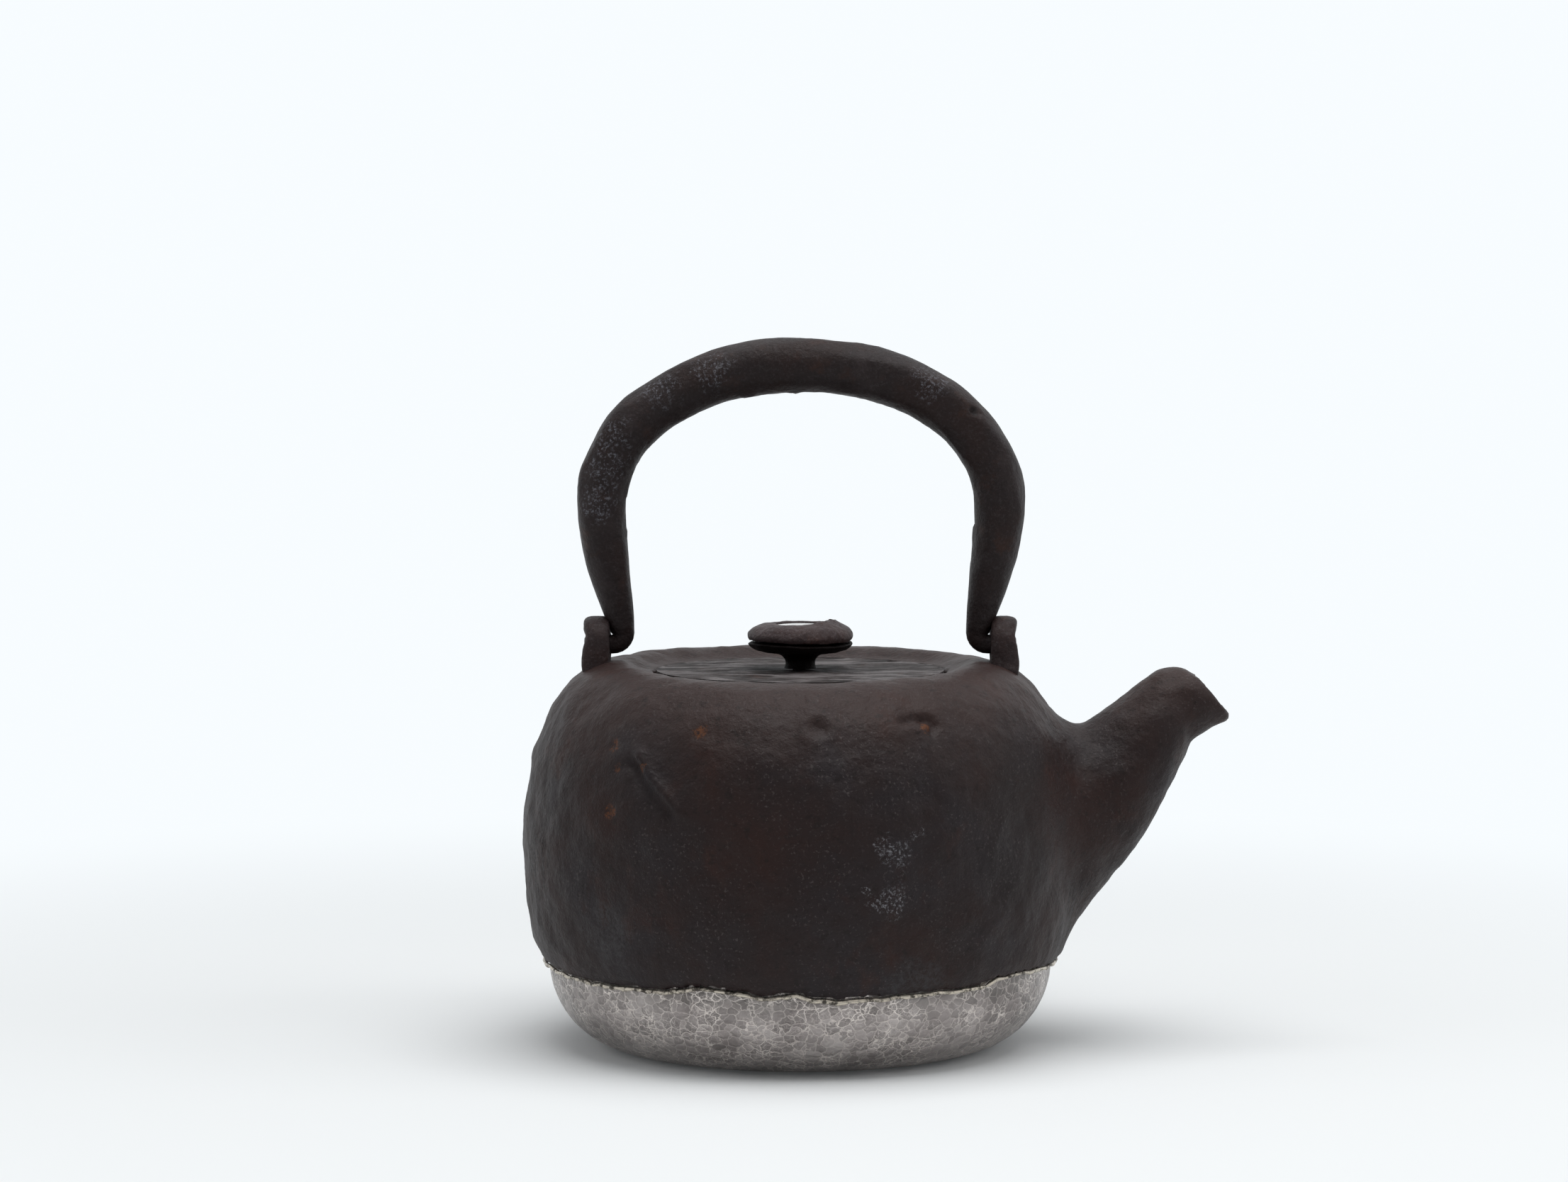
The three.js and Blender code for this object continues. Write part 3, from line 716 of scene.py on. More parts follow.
def iron_distance(points):
    """How far points lie outside the iron. Where the fillet is, each point keeps to its own side."""
    outer, inner = outer_distance(points), -inner_distance(points)
    filleted = sharp_distance(points) - outer > 0.02 * MM
    own_side = np.where(on_outside, outer, inner)
    return np.where(filleted, own_side, rounded_most(outer, inner, EDGE_ROUND))


for _ in range(6):
    away = iron_distance(points)
    points = points - np.clip(away, -MM, MM)[:, None] * slope_of(iron_distance, points, away)
put_points(casting, points)
print("left over", round(float(np.abs(iron_distance(points)).mean()) / MM, 4), "mm")

# %% [markdown]
# ## Dents and marks of the casting
# Sand casting and use have left marks that can be pointed at: a fold in the skin with a rusty crescent above
# it, a round dimple, two eaten pits near the shoulder, and small bumps. Each is named by the pixel where it
# lies, and a line of sight finds it on the surface. The rest of the skin has wide soft dents.

# %% Where the marks lie
FOLD = [(902, 1067), (915, 1093), (934, 1117), (955, 1142)]
CRESCENT = [(869, 1083), (889, 1077), (907, 1083)]
DIMPLE = (1155, 1026)
SLOT = [(1273, 1016), (1286, 1014)]
HOLE = [(1298, 1012), (1311, 1013), (1319, 1022), (1315, 1031)]
RUST_SPOTS = [(864, 1050), (987, 1033), (859, 1144), (1308, 1024)]
FROST_SPOTS = [(1264, 1208), (1254, 1272), (1303, 1173), (1239, 1190), (1291, 1179), (1222, 1257)]
SHALLOWS = [(860, 1200), (1010, 1240), (1440, 1150), (1090, 1130), (1330, 1330), (1180, 1380), (830, 990)]

tree = bvhtree.BVHTree.FromPolygons(
    [vertex.co for vertex in casting.vertices],
    [polygon.vertices for polygon in casting.polygons],
)


def touched(pixel):
    """The point of the casting that is seen at a pixel."""
    return tree.ray_cast(camera.location, sight(pixel))[0]


def away_from(points, start, end=None):
    """How far points lie from a point, or from the line between two."""
    start = np.array(start)
    if end is None:
        return np.linalg.norm(points - start, axis=1)
    run = np.array(end) - start
    share = np.clip((points - start) @ run / (run @ run), 0, 1)
    return np.linalg.norm(points - start - share[:, None] * run, axis=1)


def hill(away, radius):
    """1 in the middle and 0 well past a radius."""
    return np.exp(-((away / radius) ** 2))


def along_line(points, pixels, radius):
    """1 on a line that runs through pixels, and 0 well past a radius from it."""
    spots = [touched(pixel) for pixel in pixels]
    return np.max([hill(away_from(points, *pair), radius) for pair in zip(spots, spots[1:])], axis=0)


def left_of(pixels, step):
    return [(x - step, y + 0.6 * step) for x, y in pixels]


points, normals = points_of(casting)
skin_share = np.clip((inner_distance(points) - 0.6 * MM) / (1.2 * MM), 0, 1)
rim_share = np.clip((np.hypot(points[:, 0], points[:, 1]) - SEAT_RADIUS) / (4 * MM), 0.15, 1)
lift = 0.6 * MM * ripple(points, 26 * MM, 2) - 0.4 * MM
lift += 0.5 * MM * ripple(points, 10 * MM, 3, 5.0)
for pixel in SHALLOWS:
    lift -= 0.8 * MM * hill(away_from(points, touched(pixel)), 12 * MM)
lift += 1.5 * MM * along_line(points, FOLD, 1.7 * MM)
lift -= 1.4 * MM * along_line(points, left_of(FOLD, 13), 1.8 * MM)
lift -= 0.7 * MM * along_line(points, CRESCENT, 1.5 * MM)
dimple = away_from(points, touched(DIMPLE))
lift += 0.4 * MM * hill(dimple - 4 * MM, 1.4 * MM) - 1.0 * MM * hill(dimple, 2.6 * MM)
lift -= 1.2 * MM * along_line(points, SLOT, 1.2 * MM)
lift -= 1.7 * MM * along_line(points, HOLE, 1.2 * MM)
for pixel in RUST_SPOTS[:3]:
    lift -= 0.6 * MM * hill(away_from(points, touched(pixel)), 2 * MM)
lift += 0.6 * MM * hill(away_from(points, (-76 * MM, -4 * MM, 84 * MM)), 3.5 * MM)
marks = {
    "rust": [touched(pixel) for pixel in RUST_SPOTS],
    "crescent": [touched(pixel) for pixel in CRESCENT],
    "frost": [touched(pixel) for pixel in FROST_SPOTS],
    "pits": [touched(pixel) for pixel in SLOT + HOLE],
    "scab": [touched((850, 1320)), touched((1290, 1395))],
    # places of a vertical grain with a painted sheen at the flanks' edges
    "strip": [touched((1512, 1290)), touched((756, 1215))],
    # the place of a painted shade on the belly before the spout
    "shade": [touched((1440, 1120)), touched((1440, 1210))],
}
put_points(casting, points + (lift * skin_share * rim_share)[:, None] * normals)
print("marks", {name: len(found) for name, found in marks.items()})

# %% [markdown]
# ## The cast skin
# Old cast iron is brown-black and matt. The belly is a little bluer, and rust shows through in blots. The
# shoulder and spout are painted a lighter brown, as painted light from above; a patch before the spout is
# painted darker, as painted shade, and the flanks' edges carry a painted sheen over their grain. Light
# speckle comes from sand grains. Each of these is one mask over one ground colour, and the finest grain is
# only in the bump.


# %% The cast finish
def any_near(recipe, points, radius, ragged=1.3, grain=2 * MM):
    """1 near any of some points."""
    mask = recipe.near(points[0], radius, ragged, grain)
    for point in points[1:]:
        mask = mask.highest(recipe.near(point, radius, ragged, grain))
    return mask


def cast_finish():
    recipe = new_recipe("cast_skin")
    blots = recipe.cloud(30 * MM, 5, 0.6)
    fine = recipe.cloud(1.1 * MM, 4, 0.7)
    ground = recipe.colours(
        blots,
        (0.36, (0.023, 0.0105, 0.009)),
        (0.5, (0.0185, 0.011, 0.0108)),
        (0.64, (0.0195, 0.0145, 0.016)),
    )
    # painted light: towards the shoulder the iron is painted a lighter brown, as if lit from above
    high = recipe.between(recipe.height() + 16 * MM * (recipe.cloud(11 * MM) - 0.5), 82 * MM, 108 * MM)
    ground = recipe.over(ground, 0.85 * high, (0.038, 0.0215, 0.019))
    red = recipe.between(recipe.cloud(13 * MM, 6, 0.65, recipe.place((1, 1, 0.7))), 0.54, 0.74)
    ground = recipe.over(ground, 0.45 * red, (0.04, 0.0135, 0.0085))
    # painted shade: a patch of the belly before the spout is painted darker, where its concave band lies in
    # shade
    shade = any_near(recipe, marks["shade"], 19 * MM, 0.5, 9 * MM)
    ground = recipe.over(ground, 0.5 * shade, (0.011, 0.006, 0.0055))
    speckle = recipe.between(recipe.cloud(0.8 * MM, 2, 0.6), 0.57, 0.72)
    patchy = recipe.between(recipe.cloud(15 * MM, 3), 0.4, 0.65)
    ground = recipe.over(ground, 0.45 * speckle * (0.3 + 0.7 * patchy), (0.095, 0.08, 0.078))
    hollow = recipe.between(recipe.cloud(2.6 * MM, 3, 0.6), 0.3, 0.44)
    ground = recipe.over((0.009, 0.0055, 0.005), 0.45 + 0.55 * hollow, ground)
    scab = any_near(recipe, marks["scab"], 12 * MM, 1.4, 6 * MM) * recipe.between(fine, 0.42, 0.6)
    ground = recipe.over(ground, 0.6 * scab, (0.045, 0.042, 0.044))
    # painted sheen: the flanks' left and right edges are painted a lighter grey over their vertical grain,
    # which the bump carries too
    strip = any_near(recipe, marks["strip"], 13 * MM, 1.2, 5 * MM)
    grained = recipe.between(recipe.cloud(1.6 * MM, 4, 0.7, recipe.place((1, 1, 0.35))), 0.5, 0.62)
    ground = recipe.over(ground, 0.55 * strip * grained, (0.06, 0.055, 0.056))
    rust = any_near(recipe, marks["rust"], 2.3 * MM, 2.2, MM)
    rust = rust.highest(any_near(recipe, marks["crescent"], 1.6 * MM, 1.6, MM))
    ground = recipe.over(ground, 0.85 * rust * recipe.between(fine, 0.36, 0.56), (0.12, 0.042, 0.015))
    # painted shade: the insides of the pits are painted near black
    ground = recipe.over(ground, 0.9 * any_near(recipe, marks["pits"], 1.5 * MM, 0.8), (0.003, 0.002, 0.002))
    flecks = recipe.between(recipe.cloud(0.9 * MM, 5, 0.75), 0.5, 0.64)
    frost = 0.8 * any_near(recipe, marks["frost"][:2], 5.5 * MM, 2.4, 4 * MM)
    frost = frost.highest(any_near(recipe, marks["frost"][2:], 1.7 * MM, 1.6, MM))
    ground = recipe.over(ground, 0.8 * frost * flecks, (0.26, 0.26, 0.28))
    normal = recipe.bump(recipe.cloud(7 * MM, 4, 0.55), 0.9 * MM)
    normal = recipe.bump(recipe.cloud(1.9 * MM, 4, 0.62), 0.28 * MM, normal)
    normal = recipe.bump(grained * strip, 0.5 * MM, normal)
    normal = recipe.bump(recipe.cloud(0.6 * MM, 3, 0.7), 0.14 * MM, normal)
    return recipe.surface(
        Base_Color=ground,
        Roughness=recipe.spread(fine, 0.4, 0.62),
        Metallic=0.0,
        Specular_IOR_Level=0.2,
        Normal=normal,
    )


body_piece = finished("cast_body", casting, cast_finish(), "kettle", "cast_iron", "iron_body")

# %% [markdown]
# ## The silver bowl
# The bottom is one sheet of silver raised over a stake: a flat foot, a rounded flank and a straight collar
# that stands inside the iron. It is spun from its outline, with close steps on the flank, where the small
# flats of the planishing hammer must show, and wide ones inside.

# %% The bowl
silver_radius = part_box("silver_bottom")[1].x
silver_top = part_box("silver_bottom")[1].z
SILVER_WALL = 1.6 * MM
FOOT_RADIUS = 46 * MM
bowl_top = HEM_HEIGHT + corner_heights.max() * MM


def bowl_side(inset, steps):
    """The flank of the bowl, from its foot up to the collar."""
    reach = (silver_radius - FOOT_RADIUS - inset, inset - bowl_top)
    return quarter_round((FOOT_RADIUS, bowl_top), reach, steps, WALL_POWER)[::-1]


bowl_outline = [
    *[(FOOT_RADIUS * i / 6, 0) for i in range(6)],
    *bowl_side(0, 44),
    (silver_radius, silver_top),
    (silver_radius - SILVER_WALL, silver_top),
    *bowl_side(SILVER_WALL, 14)[::-1],
    *[(FOOT_RADIUS * (5 - i) / 6, SILVER_WALL) for i in range(6)],
]
bowl = mesh_of("bowl", turned(bowl_outline, 300))
points, normals = points_of(bowl)
outside = np.hypot(points[:, 0], points[:, 1]) > FOOT_RADIUS - 3 * MM
outside &= (normals[:, 2] < 0.3) & (points[:, 2] < bowl_top)
outside &= (normals[:, :2] * points[:, :2]).sum(axis=1) > -0.01
lift = np.zeros(len(points))
lift[outside] = 0.9 * hammered(points[outside], normals[outside], 3.1 * MM, 0.02 * MM, 4) - 0.06 * MM
lift[outside] += 0.12 * MM * ripple(points[outside], 12 * MM, 2)
lift *= np.clip(points[:, 2] / (1.5 * MM), 0, 1)
put_points(bowl, points + lift[:, None] * normals)

# %% [markdown]
# ## Toned silver
# The silver has darkened to a cloudy grey with a breath of pink, and the ridges between the hammer's flats
# have been rubbed bright and carry a painted highlight, so a fine net of pale lines covers it. Under the iron
# hem the silver is painted darker, as painted shade. The net is the edge of a cell pattern whose place is
# shaken by noise, and the cells differ a little from each other in tone.


# %% The silver finishes
def silver_finish():
    recipe = new_recipe("toned_silver")
    here = recipe.place((1, 1, 1.25))
    sockets = {"Vector": here, "Scale": 420, "Detail": 3}
    shake = recipe.node("ShaderNodeTexNoise", sockets=sockets, output="Color")
    moved = recipe.node(
        "ShaderNodeVectorMath",
        {"operation": "MULTIPLY_ADD"},
        {0: shake, 1: (0.0026, 0.0026, 0.0026), 2: here},
    )
    edge = recipe.cells(3 * MM, place=moved)
    net = 1 - recipe.between(edge, 0.0, 0.07)
    finer = 1 - recipe.between(recipe.cells(1.6 * MM, place=moved), 0.0, 0.07)
    worn = recipe.between(recipe.cloud(9 * MM, 4), 0.38, 0.62)
    ridges_and_highlight = (net * (0.3 + 0.7 * worn)).highest(0.55 * finer * worn)
    tone = recipe.cloud(17 * MM, 5, 0.62)
    ground = recipe.colours(
        tone,
        (0.34, (0.215, 0.19, 0.183)),
        (0.5, (0.315, 0.284, 0.274)),
        (0.66, (0.4, 0.366, 0.353)),
    )
    cell = recipe.node("ShaderNodeSeparateColor", sockets={0: recipe.cells(3 * MM, "F1", moved, "Color")})
    ground = recipe.over(ground, 1.0, recipe.spread(cell, 0.75, 1.2), "MULTIPLY")
    spots = recipe.between(recipe.cloud(1.5 * MM, 4, 0.65), 0.54, 0.7) * worn
    ground = recipe.over(ground, 0.55 * spots, (0.09, 0.075, 0.07))
    # painted shade: the top of the bowl, under the iron hem, is painted darker
    high = recipe.between(recipe.height() + 9 * MM * (recipe.cloud(8 * MM, 4) - 0.5), 17 * MM, 26 * MM)
    ground = recipe.over(ground, 0.5 * high, (0.1, 0.095, 0.085))
    # painted highlight: the rubbed ridges are painted pale, together with their highlight
    ground = recipe.over(ground, 0.8 * ridges_and_highlight, (0.8, 0.73, 0.68))
    rough = 0.36 - 0.1 * ridges_and_highlight + 0.14 * (recipe.cloud(2 * MM, 3) - 0.5)
    normal = recipe.bump(recipe.between(edge, 0.0, 0.4), 0.12 * MM)
    normal = recipe.bump(recipe.cloud(0.8 * MM, 3, 0.6), 0.03 * MM, normal)
    return recipe.surface(Base_Color=ground, Roughness=rough, Metallic=0.85, Normal=normal)


finished("silver_bowl", bowl, silver_finish(), "kettle", "silver", "silver_bottom")

# %% [markdown]
# ## The bead under the hem
# A thin bead of solder closes the joint. It follows the hem's wave, and it was filed by hand, so it is
# ragged, and where it catches the light its glints are painted pale into its colour. A small ring section is
# spun, and each of its points is then bent to the wave.

# %% The bead
bead_low, bead_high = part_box("hem_seal")
bead_radius = land_radius + 0.8 * MM
BEAD_HALF = 0.5 * MM
bead_height = HEM_HEIGHT - GAP - BEAD_HALF
bead_outline = [
    (bead_radius + BEAD_HALF * math.cos(turn), bead_height + BEAD_HALF * math.sin(turn))
    for turn in (math.pi / 4 * i for i in range(9))
]
bead = mesh_of("bead", turned(bead_outline, 720))
points, normals = points_of(bead)
wave = hem_wave(np.arctan2(points[:, 1], points[:, 0]))
points[:, 2] += wave
lift = 0.22 * MM * ripple(points, 2.4 * MM, 3) + 0.05 * MM
put_points(bead, points + lift[:, None] * normals)


def bead_finish():
    recipe = new_recipe("solder")
    # painted glints: the bead's bright spots are painted pale, as glints of light
    painted_glint = recipe.between(recipe.cloud(2.2 * MM, 4, 0.7), 0.38, 0.56)
    ground = recipe.over((0.08, 0.07, 0.06), painted_glint, (0.62, 0.56, 0.47))
    normal = recipe.bump(recipe.cloud(0.6 * MM, 3), 0.1 * MM)
    rough = recipe.spread(painted_glint, 0.6, 0.35)
    return recipe.surface(Base_Color=ground, Roughness=rough, Metallic=0.8, Normal=normal)


finished("solder_bead", bead, bead_finish(), "kettle", "seal", "hem_seal")

# %% [markdown]
# ## The bail
# The handle is a hollow forging: thick at the top, drawn down to two necks, with each end bent out into a
# hook. A ring is extruded along its centre line, about a millimetre at a time. Hammered flats and a slow
# wander of the line then take away all evenness, as on real hand work.

# %% The line of the bail
bail_low, bail_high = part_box("bail")
ear_low, ear_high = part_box("front_ear")
PIVOT_HEIGHT = frame["joints"][0]["pos_m"][2]
HOOK_RADIUS = 2.7 * MM
HOOK_BEND = 3.1 * MM
HALF_SPAN = 56 * MM
SPRING_HEIGHT = 154 * MM
TOP_HALF, SIDE_HALF, NECK_HALF = 8 * MM, 7.15 * MM, 3.2 * MM
NECK_LEAN = 2.1 * MM
HOOK_END = 61.1 * MM
arch_rise = bail_high.z - TOP_HALF - SPRING_HEIGHT
neck_x = ear_low.x - 0.4 * MM - HOOK_BEND
elbow_height = PIVOT_HEIGHT + HOOK_BEND
neck_drop = SPRING_HEIGHT - elbow_height


def bail_line():
    """Half of the centre line as (x, z, half thickness), from the top down to the end of the hook."""
    line = []
    for i in range(60):
        share = i / 60
        turn = math.pi / 2 * (1 - share)
        half = TOP_HALF + share * (SIDE_HALF - TOP_HALF)
        line.append((HALF_SPAN * math.cos(turn), SPRING_HEIGHT + arch_rise * math.sin(turn), half))
    knots = [
        (HALF_SPAN, SPRING_HEIGHT),
        (HALF_SPAN, SPRING_HEIGHT - 0.38 * neck_drop),
        (neck_x + NECK_LEAN, elbow_height + 0.3 * neck_drop),
        (neck_x, elbow_height),
    ]
    for i in range(36):
        share = i / 36
        rest = 1 - share
        weights = [rest**3, 3 * share * rest**2, 3 * share**2 * rest, share**3]
        x, z = (sum(w * knot[k] for w, knot in zip(weights, knots)) for k in (0, 1))
        line.append((x, z, SIDE_HALF + share**1.7 * (NECK_HALF - SIDE_HALF)))
    for i in range(7):
        turn = math.pi / 2 * i / 6
        x = neck_x + HOOK_BEND * (1 - math.cos(turn))
        z = elbow_height - HOOK_BEND * math.sin(turn)
        line.append((x, z, NECK_HALF + i / 6 * (HOOK_RADIUS - NECK_HALF)))
    for x, half in [(0.3, 1), (0.6, 1), (0.86, 1), (0.96, 0.85), (1, 0.6)]:
        end = neck_x + HOOK_BEND
        line.append((end + x * (HOOK_END - end), PIVOT_HEIGHT, half * HOOK_RADIUS))
    return line


half_line = bail_line()
whole_line = [(-x, z, half) for x, z, half in half_line[:0:-1]] + half_line
bail_places = []
for i, (x, z, half) in enumerate(whole_line):
    before, after = whole_line[max(i - 1, 0)], whole_line[min(i + 1, len(whole_line) - 1)]
    along = Vector((after[0] - before[0], 0, after[1] - before[1])).normalized()
    outward = Vector((-along.z, 0, along.x))
    wide = half * (1.06 if half > NECK_HALF else 1)
    bail_places.append(placing((x, 0, z), outward, (0, 1, 0), half, wide))
bail = mesh_of("bail", drawn(bail_places, 56, 2.15))
print("bail", len(whole_line), "sections")

# %% Hammering the bail
points, normals = points_of(bail)
thick = np.clip((points[:, 2] - 122 * MM) / (22 * MM), 0, 1)
ridges = hammered(points, normals, 9 * MM, 0.3 * MM, 7)
small = hammered(points, normals, 4.2 * MM, 0.12 * MM, 8)
lift = thick * (0.5 * ridges - 0.35 * MM + 0.4 * MM * ripple(points, 17 * MM, 2, 3.0))
lift += (0.25 + 0.75 * thick) * (0.22 * small + 0.1 * MM * ripple(points, 3.4 * MM, 3, 6.0) - 0.08 * MM)
seam = np.clip(-normals[:, 2], 0, 1) ** 3 * np.clip((points[:, 2] - 158 * MM) / (12 * MM), 0, 1)
lift += seam * 0.13 * MM * ripple(points, 2.4 * MM, 3, 12.0)
bail_tree = bvhtree.BVHTree.FromPolygons(
    [vertex.co for vertex in bail.vertices],
    [polygon.vertices for polygon in bail.polygons],
)
WORM_HOLE = (1375.6, 579)
BAIL_FROST = [(1003, 522), (930, 547), (862, 614), (843, 708), (1314, 536), (852, 660)]
BAIL_RUST = [(1000, 500), (1365, 565), (1150, 505), (820, 760), (1420, 760)]


def touched_bail(pixel):
    return bail_tree.ray_cast(camera.location, sight(pixel))[0]


worm = np.array(touched_bail(WORM_HOLE))
stretch = np.array([0.75, 1, 1.3])
lift -= 2.4 * MM * hill(np.linalg.norm((points - worm) * stretch, axis=1), 1.15 * MM)
put_points(bail, points + lift[:, None] * normals)

# %% [markdown]
# ## Forge scale
# Forged iron is darker than the casting. Its scale is smooth where the hammer closed it, and rubbed to a
# bluish frost in patches on the side that hands and cloths reach. A little rust lies in the hollows.


# %% The forged finish
def forged_finish(name, frost_points, rust_points, hole=None, tone=1.0):
    """Forge scale with frost and rust near some points, and painted shade in a hole. The tone multiplies the
    whole colour; the knob's painted light and the saucer's painted shade are made with it.
    """
    recipe = new_recipe(name)
    blots = recipe.cloud(15 * MM, 5, 0.6)
    ground = recipe.colours(
        blots,
        (0.36, (0.0205, 0.011, 0.01)),
        (0.52, (0.0175, 0.0115, 0.0115)),
        (0.66, (0.029, 0.0205, 0.0205)),
    )
    red = recipe.between(recipe.cloud(8 * MM, 6, 0.68), 0.55, 0.74)
    ground = recipe.over(ground, 0.4 * red, (0.05, 0.02, 0.012))
    flecks = recipe.between(recipe.cloud(0.9 * MM, 5, 0.75), 0.5, 0.64)
    ground = recipe.over(ground, 0.16 * flecks, (0.1, 0.09, 0.095))
    for point in frost_points:
        patch = recipe.near(point, 7 * MM, 1.6, 3.5 * MM)
        ground = recipe.over(ground, 0.55 * patch * flecks, (0.2, 0.205, 0.235))
    for point in rust_points:
        patch = recipe.near(point, 5 * MM, 1.7, 3 * MM)
        ground = recipe.over(ground, 0.45 * patch * recipe.between(blots, 0.4, 0.6), (0.06, 0.022, 0.011))
    # painted shade: the inside of the hole is painted near black
    if hole:
        ground = recipe.over(ground, recipe.near(hole, 1.9 * MM), (0.002, 0.0015, 0.0015))
    ground = recipe.over(ground, 1.0, (tone, tone, tone), "MULTIPLY")
    fine = recipe.cloud(0.8 * MM, 4, 0.7)
    normal = recipe.bump(recipe.cloud(3.4 * MM, 5, 0.65), 0.7 * MM)
    normal = recipe.bump(fine, 0.13 * MM, normal)
    return recipe.surface(
        Base_Color=ground,
        Roughness=recipe.spread(fine, 0.4, 0.64),
        Metallic=0.0,
        Specular_IOR_Level=0.2 * min(tone, 1.0),
        Normal=normal,
    )


bail_frost = [touched_bail(pixel) for pixel in BAIL_FROST]
bail_rust = [touched_bail(pixel) for pixel in BAIL_RUST]
bail_finish = forged_finish("forged_bail", bail_frost, bail_rust, tuple(worm))
finished("forged_bail", bail, bail_finish, "handle", "forged_iron", "bail")

# %% [markdown]
# ## The ears
# Each ear is a strap of iron bent over the hook, with both legs let into the shoulder. It is drawn like the
# bail, along an upside-down U, with a squarish section. The feet are cut to the slope of the shoulder.

# %% The straps
STRAP_HALF = 2.1 * MM
CROWN_HALF = 2.45 * MM
HOLE_RADIUS = 3.1 * MM
EAR_SINK = 1.5 * MM
EAR_CENTRE = 57.7 * MM
EAR_WIDTH = 8.2 * MM


def shoulder_at(radius):
    """Height of the shoulder's skin at a radius."""
    share = (radius - SHOULDER_RADIUS) / (belly_radius - SHOULDER_RADIUS)
    up = (1 - share**WALL_POWER) ** (1 / WALL_POWER)
    return BELLY_HEIGHT + (shoulder_height - BELLY_HEIGHT) * up


def strap_places(side):
    """Placings along one strap, from the foot of one leg over the hook to the other foot."""
    leg_y = HOLE_RADIUS + STRAP_HALF
    path = [(-leg_y, share, 0, STRAP_HALF) for share in np.arange(8) / 8]
    for i in range(25):
        turn = math.pi * i / 24
        half = STRAP_HALF + (CROWN_HALF - STRAP_HALF) * math.sin(turn)
        path.append((-(HOLE_RADIUS + half) * math.cos(turn), 1, (HOLE_RADIUS + half) * math.sin(turn), half))
    path += [(leg_y, share, 0, STRAP_HALF) for share in np.arange(7, -1, -1) / 8]
    places = []
    for y, share, rise, half in path:
        near_x, far_x = EAR_CENTRE - EAR_WIDTH / 2, EAR_CENTRE + EAR_WIDTH / 2
        near_foot, far_foot = (shoulder_at(math.hypot(x, y)) - EAR_SINK for x in (near_x, far_x))
        slope = (far_foot - near_foot) * (1 - share)
        foot = (near_foot + far_foot) / 2
        z = foot + share * (PIVOT_HEIGHT - foot) + rise
        above = z - PIVOT_HEIGHT
        inner = near_x + 0.1 * MM
        bulge = math.exp(-(((above + 5 * MM) / (3.5 * MM)) ** 2))
        waist = math.exp(-(((above - 2.5 * MM) / (2.2 * MM)) ** 2))
        outer = far_x - 0.4 * MM + 0.5 * MM * bulge - 0.7 * MM * waist
        width = outer - inner
        centre = (side * (outer + inner) / 2, y, z)
        radial = Vector((0, y, rise)) if rise else Vector((0, y, 0))
        across = Vector((side * EAR_WIDTH, 0, slope))
        places.append(placing(centre, radial, across, half, width / 2))
    return places


def ear_mesh(side, seed):
    mesh = mesh_of("strap", drawn(strap_places(side), 28, 3.2))
    points, normals = points_of(mesh)
    lift = 0.35 * hammered(points, normals, 4 * MM, 0.12 * MM, seed) - 0.16 * MM
    lift += 0.16 * MM * ripple(points, 4 * MM, 3, seed)
    put_points(mesh, points + lift[:, None] * normals)
    return mesh


ear_finish = forged_finish("forged_ears", [], [], tone=1.7)
finished("front_strap", ear_mesh(1, 21), ear_finish, "kettle", "forged_iron", "front_ear")
finished("rear_strap", ear_mesh(-1, 22), ear_finish, "kettle", "forged_iron", "rear_ear")

# %% [markdown]
# ## The lid
# The lid is a nearly flat iron disc whose top looks like weathered wood: long fibres run across it. It is
# spun with close rings, and stretched noise pushes its top up and down in streaks. The bore for the rivet
# goes through the middle.

# %% The lid's disc
lid_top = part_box("lid_plate")[1].z
LID_EDGE = 2.95 * MM
BORE_RADIUS = 2.1 * MM
crown = lid_top - lid_low - LID_EDGE
rings = 50
lid_outline = [(BORE_RADIUS, lid_low), (lid_radius - 0.4 * MM, lid_low), (lid_radius, lid_low + 0.4 * MM)]
for i in range(rings):
    share = i / rings
    radius = lid_radius - 0.1 * MM + (BORE_RADIUS - lid_radius) * share
    lid_outline.append((radius, lid_low + LID_EDGE + crown * (2 * share - share**2)))
lid_outline += [(BORE_RADIUS, lid_top), (BORE_RADIUS, lid_low)]
lid = mesh_of("lid", turned(lid_outline, 220))
points, normals = points_of(lid)
streaks = points * np.array([0.28, 1, 1])
lift = 0.42 * MM * ripple(streaks, 4 * MM, 3) + 0.25 * MM * ripple(points, 9 * MM, 2, 4.0) - 0.25 * MM
LID_PIT = Vector((27, 30, 106)) * MM
lift -= 1.2 * MM * hill(away_from(points, LID_PIT), 1.6 * MM)
inward = np.clip((lid_radius - np.hypot(points[:, 0], points[:, 1])) / MM, 0.2, 1)
put_points(lid, points + (lift * inward * np.clip(normals[:, 2], 0, 1))[:, None] * normals)


